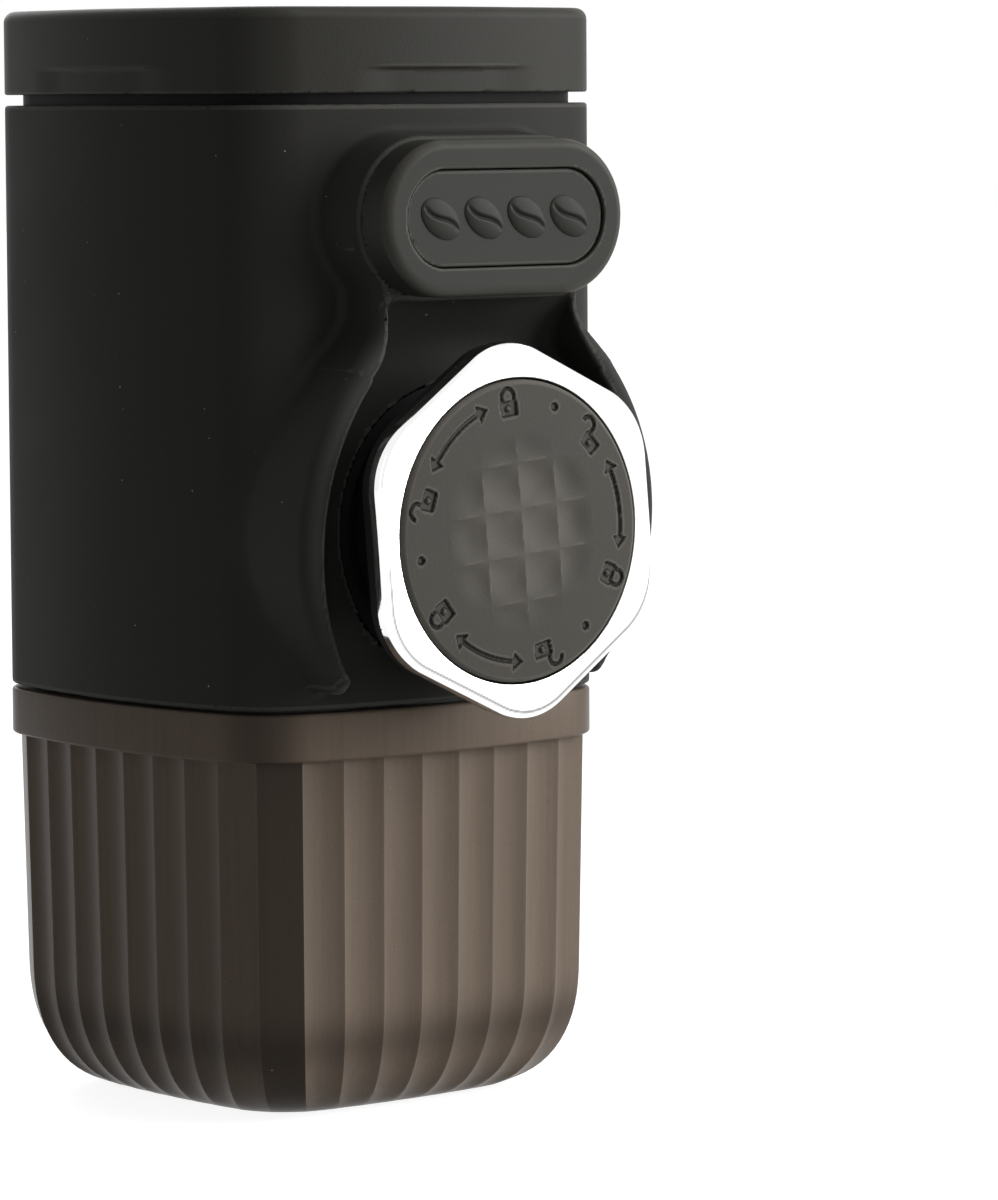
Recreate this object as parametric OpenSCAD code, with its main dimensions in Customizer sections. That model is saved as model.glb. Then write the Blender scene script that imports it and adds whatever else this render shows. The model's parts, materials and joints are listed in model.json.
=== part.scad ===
// Hand-pump portable coffee maker.
// Z is up, the knob faces -Y, and the origin is the middle of the cup's base.

/* [Outline] */
// Width of the body across its flats
body_w = 66; // [64:1:76]
// Radius of the gently bowed sides
side_r = 98; // [85:1:140]
// Radius of the four upright corners
corner_r = 11; // [9:0.5:13]

/* [Heights] */
// Height of the cup with its band
cup_h = 53.7; // [52:0.1:64]
// Height of the smooth band at the cup's mouth
band_h = 6.2; // [5:0.1:8]
// Height of the casing
casing_h = 77.2; // [74:0.1:90]
// Open line between the cup and the casing
cup_gap = 0.5; // [0.3:0.05:0.8]
// Height of the open groove under the lid
lid_gap = 1.4; // [1:0.1:2.5]
// Height of the lid
lid_h = 11.3; // [10:0.1:16]
// Height of the knob's axis above the casing's lower edge
knob_up = 22.7; // [22.6:0.1:26]
// Height of the badge's middle above the knob's axis
badge_up = 40; // [38:0.5:42]

/* [Walls] */
// Thickness of the casing's wall
casing_wall = 2; // [1.8:0.1:2.4]
// Thickness of the tank's wall
tank_wall = 1.6; // [1.2:0.1:2]
// Thickness of the tank's floor
tank_floor = 2; // [1.6:0.1:3]
// Thickness of the lid's top
lid_top_t = 2.2; // [1.6:0.1:3]
// Thickness of the cup's wall at the band
band_wall = 2.6; // [2.2:0.1:3]
// Step in from the band to the arrises of the flutes
flute_step = 1.8; // [1:0.1:2]
// Thickness of the cup's floor
cup_floor = 3.2; // [2.4:0.1:4]
// Thickness of the brew head's plate
head_t = 4; // [3.4:0.1:4.2]

/* [Cup] */
// Number of flutes round the cup
flutes = 36; // [32:1:44]
// Corner radius of the fluted side
flute_corner = 6.5; // [6:0.1:9]
// Depth of a flute
flute_d = 0.55; // [0.3:0.05:0.7]
// Height of the rounded foot of the cup
foot_h = 16.7; // [12:0.1:20]
// Run of the rounded foot of the cup, inwards
foot_run = 11.6; // [9:0.1:13]
// Taper of the cup's side, in mm for each mm of height
cup_taper = 0.017; // [0:0.001:0.03]

/* [Knob] */
// Distance of the knob's face from the middle of the body's flat
knob_proud = 13.7; // [13.2:0.1:16]
// Width of the chrome ring across its flats
knob_flat = 44.9; // [43:0.1:46]
// Radius of the ring's six lobes
lobe_r = 10.5; // [8:0.5:12]
// Turn of the ring's lobes and the disc's marks at rest, in degrees
knob_lean = 5; // [0:1:10]
// Depth of the chrome ring
rim_t = 2.1; // [1.6:0.1:2.4]
// Radius of the rubber disc
insert_r = 19.4; // [18.5:0.05:19.8]
// Radius of the knob's skirt
core_r = 16; // [15:0.1:16.4]
// Travel of the knob when it is pressed
stroke = 8; // [5:0.5:8.5]

/* [Badge] */
// Height of the oval badge
badge_h = 20; // [18:0.5:21]
// Width of the oval badge
badge_w = 39.5; // [37:0.5:41]
// Thickness of the oval badge
badge_t = 5.1; // [4:0.1:5.5]
// Distance of the badge's face from the middle of the body's flat
badge_proud = 11; // [10.5:0.1:12]
// Distance of the guard ridges' crest from the middle of the body's flat
ridge_proud = 6.2; // [5.8:0.1:7]
// Thickness of the guard ridges
ridge_t = 2; // [1.6:0.1:2.6]
// Height of the ridges' lower ends above the casing's lower edge
ridge_up = 3.4; // [3:0.1:6]

/* [Pump] */
// Radius of the pump's bore
bore_r = 7.5; // [6.5:0.1:8]
// Wall of the pump's cylinder
cylinder_wall = 3; // [2.6:0.1:3.2]
// Radius of the piston rod
rod_r = 4; // [3.6:0.1:4.4]
// Length of the piston
piston_t = 6; // [5:0.1:7]
// Wire of the return spring
wire_d = 1.1; // [0.9:0.05:1.2]
// Curls of the return spring
curls = 6; // [4:1:6]

/* [Brewing] */
// Radius of the filter basket's bowl
basket_r = 19; // [17.5:0.1:19.2]
// Depth of the filter basket
basket_h = 20.7; // [16:0.1:22]
// Length of the spout below the filter holder
spout_l = 6.4; // [4:0.1:7]

/* [Hidden] */

// Clearances
fit = 0.15;       // two fixed pieces that slide together once
slip = 0.3;       // two pieces that come apart by hand
run = 0.05;       // a shaft or seal in its bore
lie = 0.1;        // how far two faces that meet stay apart or sink together
past = 1;         // how far a cut runs past what it cuts

// Screws: shank, head, the hole that a screw taps and the socket in its head
shank_r = 1.25;
head_r = 2.5;
cap_h = 1.8;
tap_r = 1.3;
socket_r = 1.2;
socket_d = 1;
screw_grip = 9;

// Half-widths of the rounded squares, from the outside in
seat_ledge = 1.6;
half = body_w / 2;
in_half = half - casing_wall;
tank_half = in_half - fit;
head_half = in_half - slip;
mouth_half = half - band_wall;
spigot_half = mouth_half - slip;
spigot_wall = 2;
fluted_half = half - flute_step;
cavity_half = mouth_half - seat_ledge;

// Corner radii of the same rounded squares
mouth_corner = corner_r - 1;
cavity_corner = corner_r - 1.5;
bowl_corner = corner_r - 2;

// Heights
seat_depth = 6.8;
z_seat = cup_h - seat_depth;
z_case = cup_h + cup_gap;
z_case_top = z_case + casing_h;
z_lid = z_case_top + lid_gap;
z_top = z_lid + lid_h;
z_ceiling = z_top - lid_top_t;
z_axis = z_case + knob_up;
z_head = z_case - slip;
z_deck = z_head + head_t;
z_badge = z_axis + badge_up;

// The well that the knob's skirt runs in, and the lock ring in its mouth
lug_h = 1.1;
well_in = core_r + lug_h + slip;
well_wall = 1.3;
well_r = well_in + well_wall;
well_floor = 2;
tank_clear = 2.4;
z_tank = z_axis + well_r + tank_clear;
face_wall = 1.8;
lock_t = 1.8;

// Places along the pump's axis, from the knob's face inwards
insert_rise = 0.7;
flange_t = 1.6;
skirt_in = 2.8;
end_play = 1.5;
y_knob = -(half + knob_proud);
y_rim = y_knob + insert_rise;
y_flange = y_rim + rim_t;
y_face = -(in_half + face_wall);
y_skirt = y_face + skirt_in;
y_floor = y_skirt + stroke + end_play;
y_well = y_floor + well_floor;
gland_l = 5;
gland_seal_t = 2;
y_bush = y_well + gland_l;
y_piston = y_bush + 3.5;
y_chamber = y_piston + piston_t + stroke + 5;

// The pump behind the well
cylinder_r = bore_r + cylinder_wall;
gland_r = bore_r + 1;
pin_r = 3;
hub_l = 6.4;
hub_wall = 1.4;
y_pin = y_flange + hub_wall;
y_hub = y_pin + hub_l;
block_w = 17;
block_d = 12;
y_valve = y_chamber + block_d / 2;
z_block = z_tank - 8;

// The brew group
shower_r = 17.8;
shower_t = 0.8;
shower_z = z_head + lie;
rim_r = 22.6;
z_rim = z_head - 1.7;
flange_sheet = 0.8;
sheet = 0.5;
holder_floor = 2;
holder_gap = 2;
z_bowl = z_rim - basket_h;
z_holder = z_bowl - holder_gap - holder_floor;
collar_in = 24.6;
collar_out = 26.6;
bayonet_t = 1.8;

// The four screws that hold the brew head and carry the tank stand just inside the spigot's wall
screw_at = [spigot_half - spigot_wall - 4.2, 18.6];
post_r = 3.4;
post_web = 2.4;

// One round number for the smoothness of turned pieces, and one for the large arcs
$fn = 72;
arc_fn = 240;

// Middle of a corner's arc in a rounded square with bowed sides
function corner_c(a) =
    let (d = side_r - a, s = side_r - corner_r)
    (-d + sqrt(2 * s * s - d * d)) / 2;

// A rounded square with bowed sides, by exact arcs
module squircle(a) {
    c = corner_c(a);
    // Where a side's arc meets a corner's arc
    reach = norm([c - a + side_r, c]);
    tx = a - side_r + (c - a + side_r) * side_r / reach;
    ty = c * side_r / reach;
    intersection() {
        intersection_for (q = [0:3]) rotate(q * 90) translate([a - side_r, 0]) circle(side_r, $fn = arc_fn);
        polygon([[tx + ty, 0], [0, tx + ty], [-tx - ty, 0], [0, -tx - ty]]);
    }
    for (q = [0:3]) rotate(q * 90) translate([c, c]) circle(corner_r);
}

module prism(a, z0, z1) {
    translate([0, 0, z0]) linear_extrude(z1 - z0) squircle(a);
}

// A cylinder along +Y from y0 to y1 round the pump's axis
module along_y(r, y0, y1, x = 0, z = z_axis) {
    translate([x, y0, z]) rotate([-90, 0, 0]) cylinder(r = r, h = y1 - y0);
}

// An outline drawn in X and Z, made solid from y0 to y1
module face_extrude(y0, y1) {
    translate([0, y1, 0]) rotate([90, 0, 0]) linear_extrude(y1 - y0) children();
}

module pipe(r_out, r_in, z0, z1) {
    translate([0, 0, z0]) difference() {
        cylinder(r = r_out, h = z1 - z0);
        translate([0, 0, -past]) cylinder(r = r_in, h = z1 - z0 + 2 * past);
    }
}

// A screw that stands on its head, with the shank up from z = 0
module screw(length) {
    cylinder(r = shank_r, h = length);
    translate([0, 0, -cap_h]) difference() {
        cylinder(r = head_r, h = cap_h);
        translate([0, 0, -past]) cylinder(r = socket_r, h = socket_d + past);
    }
}

// Places one copy at each of the four posts
module at_posts() {
    for (x = [-1, 1], y = [-1, 1]) translate([x * screw_at[0], y * screw_at[1], 0]) children();
}

// Places one hole in the middle and rings of holes round it, six more in each ring
module hole_rings(rings, pitch) {
    for (ring = [0:rings], k = [0:max(0, ring * 6 - 1)])
        rotate(k * 60 / max(1, ring)) translate([ring * pitch, 0, 0]) children();
}

// Three wedges that reach from the middle past a ring
module wedges(half_angle, turn, reach = 40) {
    tip = [reach * cos(half_angle), reach * sin(half_angle)];
    for (k = [0:2]) rotate(turn + k * 120) polygon([[0, 0], [tip[0], -tip[1]], tip]);
}

function turned(p, q) = [p[0] * cos(q) - p[1] * sin(q), p[0] * sin(q) + p[1] * cos(q)];

// A point of the section at an even share of the way round, and the direction outwards there
function round_point(a, rc, share) =
    let (eighths = (share - floor(share)) * 8, eighth = floor(eighths), part = eighths - eighth,
        d = side_r - a, s = side_r - rc, c = (-d + sqrt(2 * s * s - d * d)) / 2, lean = atan2(c, c + d),
        side_l = side_r * lean * PI / 180, corner_l = rc * (45 - lean) * PI / 180,
        along = (eighth % 2 == 0 ? part : 1 - part) * (side_l + corner_l),
        on_side = along <= side_l,
        angle = on_side ? along / side_r * 180 / PI : lean + (along - side_l) / rc * 180 / PI,
        out = [cos(angle), sin(angle)],
        at = on_side ? [a - side_r, 0] + side_r * out : [c, c] + rc * out,
        q = 90 * floor(eighth / 2))
    eighth % 2 == 0 ? [turned(at, q), turned(out, q)] :
        [turned([at[1], at[0]], q), turned([out[1], out[0]], q)];

// Rings of points, one above another, joined into one closed skin
module loft(rings) {
    n = len(rings[0]);
    m = len(rings);
    pts = [for (ring = rings) each ring];
    walls = [for (k = [0:m - 2], i = [0:n - 1]) let (j = (i + 1) % n)
        each [[k * n + i, (k + 1) * n + i, (k + 1) * n + j], [k * n + i, (k + 1) * n + j, k * n + j]]];
    floor_face = [for (i = [0:n - 1]) i];
    top_face = [for (i = [n - 1:-1:0]) (m - 1) * n + i];
    polyhedron(pts, concat([floor_face, top_face], walls));
}

// Cup, outside: the foot's curve is a quarter of a superellipse
foot_power = 2.38;
foot_rings = 9;
// How much the corner's radius grows for each mm that the foot draws in
foot_corner = 0.2;
flute_fade = 1.2;
flute_steps = 3;
// Place of the first arris, as a share of a flute
flute_shift = 0.34;
function foot_in(t) = foot_run * (1 - pow(max(0, 1 - pow(1 - t, foot_power)), 1 / foot_power));
function cup_half(z) =
    fluted_half - cup_taper * (cup_h - band_h - z) - (z < foot_h ? foot_in(z / foot_h) : 0);
function flute(i) = let (u = (i % flute_steps) / flute_steps) flute_d * 4 * u * (1 - u);
cup_n = flutes * flute_steps;
function ring_share(i) = (i / flute_steps + flute_shift) / flutes;
function fluted_ring(z) =
    let (a = cup_half(z), rc = flute_corner + foot_corner * (fluted_half - a), fade = min(1, z / flute_fade))
    [for (i = [0:cup_n - 1])
        let (at = round_point(a, rc, ring_share(i)), p = at[0] - flute(i) * fade * at[1]) [p[0], p[1], z]];
function plain_ring(a, rc, z) =
    [for (i = [0:cup_n - 1]) let (p = round_point(a, rc, ring_share(i))[0]) [p[0], p[1], z]];

// Cup, inside: the same foot, one wall in
bowl_rings = 5;
bowl_share = 0.84;
bowl_foot = foot_h - cup_floor;
function bowl_half(z) = let (s = max(0, min(1, (z - cup_floor) / bowl_foot)))
    cavity_half - cup_taper * (z_seat - z) - bowl_share * foot_in(s);

module cup() {
    color([0.36, 0.33, 0.3, 0.75])
    loft(concat(
        [for (k = [0:foot_rings]) fluted_ring(foot_h * (1 - cos(90 * k / foot_rings)))],
        [fluted_ring(cup_h - band_h),
        plain_ring(half, corner_r, cup_h - band_h),
        plain_ring(half, corner_r, cup_h),
        plain_ring(mouth_half, mouth_corner, cup_h),
        plain_ring(mouth_half, mouth_corner, z_seat),
        plain_ring(cavity_half, cavity_corner, z_seat)],
        [for (k = [bowl_rings:-1:0]) let (z = cup_floor + bowl_foot * (1 - cos(90 * k / bowl_rings)))
            plain_ring(bowl_half(z), bowl_corner, z)]));
}

// Groove round the brew head's spigot, and the seal in it
groove_z = z_seat + 1.8;
groove_h = 2.4;
groove_d = 1;
module cup_seal() {
    color("dimgray") difference() {
        prism(mouth_half - run, groove_z, groove_z + groove_h);
        prism(spigot_half - groove_d, groove_z - past, groove_z + groove_h + past);
    }
}

// Badge outline: a slot shape with round ends
module oval(w, h) {
    translate([0, z_badge]) {
        square([w - h, h], center = true);
        for (s = [-1, 1]) translate([s * (w - h) / 2, 0]) circle(h / 2);
    }
}

// The guard outline: two large arcs round the knob and two hollow arcs up to the badge
lens_r = 31.2;
lens_off = 4.5;
lens_drop = 0.6;
neck_r = 14;
neck_w = 15.2;
neck_from = 14;
neck_flare = 0.7;
seat_rim = 0.2;
lens_z = z_axis - lens_drop;
neck_z = lens_z + sqrt(pow(lens_r + neck_r, 2) - pow(neck_w + neck_r + lens_off, 2));
join = lens_r / (lens_r + neck_r);
join_x = -lens_off + join * (neck_w + neck_r + lens_off);
module bell(grow) {
    filled_x = min(badge_w / 2 + seat_rim, join_x + grow * neck_flare);
    intersection_for (s = [-1, 1]) translate([s * lens_off, lens_z]) circle(lens_r + grow, $fn = arc_fn);
    difference() {
        translate([-filled_x, z_axis + neck_from]) square([2 * filled_x, z_badge - z_axis - neck_from]);
        for (s = [-1, 1]) translate([s * (neck_w + neck_r), neck_z]) circle(neck_r - grow);
    }
}

y_badge = -(half + badge_proud);
y_pedestal = y_badge + badge_t;
y_ridge = -(half + ridge_proud);
ridge_end = z_case + ridge_up;
// Where the boss starts inside the corners, as a share of the half-width
boss_root = 0.78;
// The crest of the ridges falls back below this height over the knob's axis, on a large arc
crest_from = 18;
crest_r = 230;

module boss() {
    face_extrude(y_pedestal, -in_half) oval(badge_w + 2 * seat_rim, badge_h + 2 * seat_rim);
    tip_x = -lens_off + sqrt(pow(lens_r + ridge_t / 2, 2) - pow(lens_z - ridge_end, 2));
    intersection() {
        union() {
            face_extrude(y_ridge, -half * boss_root) difference() {
                bell(ridge_t);
                translate([-half, 0]) square([body_w, ridge_end]);
            }
            // Rounded tips of the two ridges
            for (s = [-1, 1]) along_y(ridge_t / 2, y_ridge, -half * boss_root, s * tip_x, ridge_end);
        }
        union() {
            translate([-half, y_ridge + crest_r, z_axis + crest_from]) rotate([0, 90, 0])
                cylinder(r = crest_r, h = body_w, $fn = 4 * arc_fn);
            translate([-half, y_ridge - past, z_axis + crest_from]) cube([body_w, half, z_badge - z_axis]);
        }
    }
}

// What is scooped out between the ridges: flat behind the knob, sloping up to the badge
scoop_margin = 3.4;
scoop_lip = 0.4;
module scoop() {
    slope_z = z_axis + knob_flat / 2 + scoop_margin;
    top_z = z_badge - badge_h / 2 - scoop_lip;
    front = y_badge - past;
    intersection() {
        face_extrude(front, y_face) bell(0);
        translate([-half, 0, 0]) rotate([90, 0, 90]) linear_extrude(body_w)
            polygon([[front, z_case - past], [y_face, z_case - past], [y_face, slope_z],
                [y_pedestal + scoop_lip, top_z], [front, top_z]]);
    }
}

module casing() {
    color([0.14, 0.14, 0.135]) {
        difference() {
            union() {
                prism(half, z_case, z_case_top);
                boss();
            }
            scoop();
            // Seat of the badge
            face_extrude(y_badge - past, y_pedestal) oval(badge_w + 2 * fit, badge_h + 2 * fit);
            prism(in_half, z_case - past, z_case_top + past);
            // Opening for the knob's well
            along_y(well_r + fit, y_badge - past, y_floor);
        }
        // Screw posts that carry the tank, each with a web out into the wall
        difference() {
            union() {
                at_posts() translate([0, 0, z_deck]) cylinder(r = post_r, h = z_tank - z_deck);
                intersection() {
                    for (x = [-half, screw_at[0]], y = [-1, 1])
                        translate([x, y * screw_at[1] - post_web / 2, z_deck + slip])
                            cube([half - screw_at[0], post_web, z_tank - z_deck - slip]);
                    prism(half - casing_wall / 2, z_deck, z_tank);
                }
            }
            at_posts() translate([0, 0, z_deck - past]) cylinder(r = tap_r, h = screw_grip + 2 + past);
            along_y(well_r + slip, y_face, y_well + past);
        }
    }
}

// Badge: a plate with a step round its edge and a recessed panel
badge_lip = 0.7;
badge_step = 0.4;
border_side = 3.35;
border_top = 3.7;
recess = 1.6;
inlay_w = badge_w - 2 * border_side;
inlay_h = badge_h - 2 * border_top;
inlay_t = 1;

module oval_cap() {
    color([0.17, 0.17, 0.165]) difference() {
        union() {
            face_extrude(y_badge, y_pedestal - badge_step)
                oval(badge_w - 2 * badge_step, badge_h - 2 * badge_step);
            face_extrude(y_badge + badge_lip, y_pedestal) oval(badge_w, badge_h);
        }
        face_extrude(y_badge - past, y_badge + recess) oval(inlay_w, inlay_h);
    }
}

bean_w = 7.6;
bean_h = 5;
bean_gap = 1.4;
bean_tilt = 18;
bean_proud = 0.5;
bean_sunk = 0.2;
crease_r = 3;
crease_w = 0.5;
crease_up = 2.2;
// A bean: two arcs for its outline, with a curved crease
module bean() {
    r = (bean_w * bean_w / 4 + bean_h * bean_h / 4) / bean_h;
    difference() {
        intersection_for (s = [-1, 1]) translate([0, s * (r - bean_h / 2)]) circle(r);
        translate([0, crease_up]) difference() {
            circle(crease_r);
            circle(crease_r - crease_w);
            translate([-bean_w, 0]) square([2 * bean_w, bean_h]);
        }
    }
}

module oval_inlay() {
    y_in = y_badge + recess - inlay_t;
    color([0.12, 0.12, 0.115]) {
        face_extrude(y_in, y_in + inlay_t) oval(inlay_w - 2 * fit, inlay_h - 2 * fit);
        for (k = [-1:1]) translate([k * (bean_w + bean_gap), 0, z_badge]) rotate([0, bean_tilt, 0])
            face_extrude(y_in - bean_proud, y_in + bean_sunk) bean();
    }
}

// Lid: a cap with a rounded upper edge, and a plug that reaches into the tank
lid_wall = 1.8;
lid_edge = 1.5;
edge_rings = 4;
edge_corner = 0.4;
vent_r = 0.8;
plug_h = 8.4;
plug_wall = 1.8;
plug_clear = 1.4;
grip_w = 25;
grip_h = 3.2;
grip_d = 0.4;
tank_in = tank_half - tank_wall;
plug_half = tank_in - plug_clear;
function edge_ring(t) = let (inset = lid_edge * (1 - cos(t)))
    plain_ring(half - inset, corner_r - edge_corner * inset, z_top - lid_edge * (1 - sin(t)));
module lid() {
    color([0.18, 0.175, 0.165]) {
        difference() {
            loft(concat([plain_ring(half, corner_r, z_lid)],
                [for (k = [0:edge_rings]) edge_ring(90 * k / edge_rings)]));
            prism(half - lid_wall, z_lid - past, z_ceiling);
            // Finger grips
            for (q = [0:3]) rotate(q * 90) translate([half - grip_d, -grip_w / 2, z_lid - past])
                cube([past + grip_d, grip_w, grip_h + past]);
            translate([0, 0, z_ceiling - past]) cylinder(r = vent_r, h = lid_top_t + 2 * past);
        }
        difference() {
            prism(plug_half, z_ceiling - plug_h, z_ceiling);
            prism(plug_half - plug_wall, z_ceiling - plug_h - past, z_ceiling + past);
        }
    }
}

// Gasket: a lip that touches the tank, and a sleeve above it
lip_up = 2;
lip_t = 1.2;
sleeve_t = 0.8;
module lid_gasket() {
    z_lip = z_ceiling - plug_h + lip_up;
    color([0.3, 0.3, 0.3]) difference() {
        union() {
            prism(tank_in - run, z_lip, z_lip + lip_t);
            prism(plug_half + sleeve_t, z_lip + lip_t, z_lip + 2 * lip_t);
        }
        prism(plug_half, z_lip - past, z_lip + 2 * lip_t + past);
    }
}

// Vent: a disc under the lid with a cone that opens inwards
disc_r = 4;
disc_t = 1.2;
cone_h = 3.8;
module vent_valve() {
    color([0.75, 0.75, 0.72]) difference() {
        union() {
            translate([0, 0, z_ceiling - disc_t]) cylinder(r = disc_r, h = disc_t);
            translate([0, 0, z_ceiling - disc_t - cone_h])
                cylinder(r1 = vent_r + lie, r2 = 3 * vent_r, h = cone_h);
        }
        translate([0, 0, z_ceiling - cone_h]) cylinder(r = vent_r - 0.2, h = cone_h + past);
    }
}

drain_r = 1.8;
nipple_r = 2.9;
nipple_l = 5;
screen_r = 6;
screen_t = 0.6;
module water_tank() {
    color([0.2, 0.2, 0.2]) difference() {
        union() {
            prism(tank_half, z_tank, z_ceiling);
            translate([0, y_valve, z_tank - nipple_l]) cylinder(r = nipple_r, h = nipple_l);
        }
        prism(tank_in, z_tank + tank_floor, z_ceiling + past);
        translate([0, y_valve, z_tank - nipple_l - past])
            cylinder(r = drain_r, h = nipple_l + tank_floor + 2 * past);
        translate([0, y_valve, z_tank + tank_floor - screen_t]) cylinder(r = screen_r, h = past);
    }
}

screen_hole_r = 0.45;
screen_pitch = 1.8;
module intake_screen() {
    color("silver") translate([0, y_valve, z_tank + tank_floor - screen_t]) difference() {
        cylinder(r = screen_r - fit, h = screen_t);
        hole_rings(2, screen_pitch) translate([0, 0, -past])
            cylinder(r = screen_hole_r, h = screen_t + 2 * past);
    }
}

tube_r = 5;
module intake_tube() {
    color([0.85, 0.85, 0.82]) translate([0, y_valve, 0]) pipe(tube_r, nipple_r, z_block, z_tank);
}

// Plate of the valve block, bolted to the pump's flange
flange_r = 15;
pump_flange_t = 3;
bolt_x = 12;
plate_t = 4;
plate_h = 8;
plate_reach = 3;
module pump_cylinder() {
    color([0.75, 0.75, 0.74]) difference() {
        union() {
            along_y(cylinder_r, y_well, y_chamber);
            along_y(flange_r, y_chamber - pump_flange_t, y_chamber);
        }
        along_y(bore_r, y_bush - past, y_chamber + past);
        along_y(gland_r, y_well - past, y_bush);
        for (s = [-1, 1]) along_y(tap_r, y_chamber - pump_flange_t - past, y_chamber + past, s * bolt_x);
    }
}

module gland_bush() {
    color([0.93, 0.92, 0.88]) difference() {
        along_y(gland_r - run, y_well + gland_seal_t, y_bush);
        along_y(rod_r + run, y_well, y_bush + past);
    }
}

module gland_seal() {
    color([0.15, 0.15, 0.15]) difference() {
        along_y(gland_r - run, y_well, y_well + gland_seal_t);
        along_y(rod_r + run, y_well - past, y_well + gland_seal_t + past);
    }
}

// Rod: its thin end carries the knob, its other end the piston with a clip in a groove
clip_t = 0.7;
clip_slot = 0.8;
clip_depth = 0.6;
clip_wall = 1.6;
clip_gap = 3.6;
rod_end = 1.6;
thread_r = 1.4;
thread_l = 4.6;
module piston_rod() {
    y_clip = y_piston + piston_t;
    color("silver") {
        difference() {
            union() {
                along_y(pin_r, y_pin + lie, y_hub);
                along_y(rod_r, y_hub + lie, y_piston);
                along_y(pin_r, y_hub, y_clip + rod_end);
            }
            along_y(thread_r + run, y_pin - past, y_pin + thread_l + 0.4);
            along_y(pin_r + past, y_clip, y_clip + clip_slot);
        }
        along_y(pin_r - clip_depth, y_clip - past, y_clip + rod_end);
    }
}

seal_wire = 0.9;
seal_groove = 2;
module piston_head() {
    y_middle = y_piston + piston_t / 2;
    color([0.85, 0.85, 0.83]) difference() {
        along_y(bore_r - slip, y_piston, y_piston + piston_t);
        along_y(pin_r, y_piston - past, y_piston + piston_t + past);
        difference() {
            along_y(bore_r + past, y_middle - seal_groove / 2, y_middle + seal_groove / 2);
            along_y(bore_r - 2 * seal_wire - lie, y_piston, y_piston + piston_t);
        }
    }
}

module piston_seal() {
    color([0.12, 0.12, 0.12]) translate([0, y_piston + piston_t / 2, z_axis]) rotate([90, 0, 0])
        rotate_extrude() translate([bore_r - run - seal_wire, 0]) circle(seal_wire);
}

module rod_clip() {
    y_clip = y_piston + piston_t;
    color("gray") difference() {
        along_y(pin_r + clip_wall, y_clip, y_clip + clip_t);
        along_y(pin_r - clip_depth, y_piston, y_clip + past);
        translate([-clip_gap / 2, y_piston, z_axis])
            cube([clip_gap, piston_t + past, pin_r + clip_wall + past]);
    }
}

// A wound wire: a helix whose last turns at each end lie close
wire_rings = 8;
end_turn = 0.75;
close = 0.9;
function curl_lift(u, n, pitch, d) =
    u < end_turn ? d * close * u / end_turn :
    u > n - end_turn ? d * close * (1 + (u - n + end_turn) / end_turn) + pitch * (n - 2 * end_turn) :
    d * close + pitch * (u - end_turn);
function coil_path(r, n, length, d) = let (pitch = (length - d * (1 + 2 * close)) / (n - 2 * end_turn))
    [for (k = [0:n * wire_rings]) let (u = k / wire_rings)
        [r * cos(360 * u), r * sin(360 * u), d / 2 + curl_lift(u, n, pitch, d)]];
function least_gap(p, d) = min([for (i = [0:len(p) - 1], j = [i + 4:1:len(p) - 1]) norm(p[i] - p[j])]) - d;

module wound(p, d, sides = 6) {
    m = len(p);
    loft([for (k = [0:m - 1])
        let (t = (p[min(k + 1, m - 1)] - p[max(k - 1, 0)]),
            along = t / norm(t),
            out = [p[k][0], p[k][1], 0] / norm([p[k][0], p[k][1]]),
            up = cross(along, out),
            side = cross(up, along))
        [for (s = [0:sides - 1]) p[k] + d / 2 * (cos(360 * s / sides) * side + sin(360 * s / sides) * up)]]);
}

spring_r = 8.6;
knob_floor = 3;
spring_path = coil_path(spring_r, curls, y_floor - y_flange - knob_floor, wire_d);
echo(str("least gap of the return spring to itself: ", least_gap(spring_path, wire_d), " mm"));
module return_spring() {
    color("silver") translate([0, y_floor, z_axis]) rotate([90, 0, 0]) wound(spring_path, wire_d);
}

module knob_well() {
    color([0.1, 0.1, 0.1]) difference() {
        along_y(well_r, y_face, y_well);
        along_y(well_in, y_face - past, y_floor);
        along_y(rod_r + run, y_floor - past, y_well + past);
    }
}

// Half-angles of the knob's three lugs and of the gaps that they pass
lug_angle = 11;
gap_angle = 14;
lug_turn = 30;
lug_t = 1.5;
lug_back = 3.6;
module lock_ring() {
    color([0.55, 0.55, 0.55]) face_extrude(y_face, y_face + lock_t) translate([0, z_axis]) difference() {
        circle(well_in);
        circle(core_r + slip);
        intersection() {
            circle(core_r + lug_h + fit);
            wedges(gap_angle, lug_turn);
        }
    }
}

// A hexagon with large round lobes
module lobed_hex(flat) {
    at = (flat / 2 - lobe_r) / cos(30);
    rotate(30 + knob_lean) {
        for (k = [0:5]) rotate(k * 60) translate([at, 0]) circle(lobe_r);
        polygon([for (k = [0:5], s = [-30, 30]) let (v = k * 60)
            [at * cos(v) + lobe_r * cos(v + s), at * sin(v) + lobe_r * sin(v + s)]]);
    }
}

hub_r = 5.6;
skirt_wall = 1.8;
rim_reach = 0.3;
nut_r = 4;
module knob_core() {
    y_lug = y_face - lug_back;
    color([0.1, 0.1, 0.1]) difference() {
        union() {
            face_extrude(y_flange, y_flange + flange_t) translate([0, z_axis])
                lobed_hex(knob_flat - 2 * rim_reach);
            along_y(core_r, y_flange, y_skirt);
            face_extrude(y_lug, y_lug + lug_t) translate([0, z_axis]) intersection() {
                circle(core_r + lug_h);
                wedges(lug_angle, lug_turn);
            }
        }
        difference() {
            along_y(core_r - skirt_wall, y_flange + knob_floor, y_skirt + past);
            along_y(hub_r, y_flange, y_hub);
        }
        along_y(pin_r + run, y_pin - past, y_skirt + past);
        along_y(nut_r + 0.4, y_flange - past, y_pin + 2 * lie);
    }
}

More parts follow.
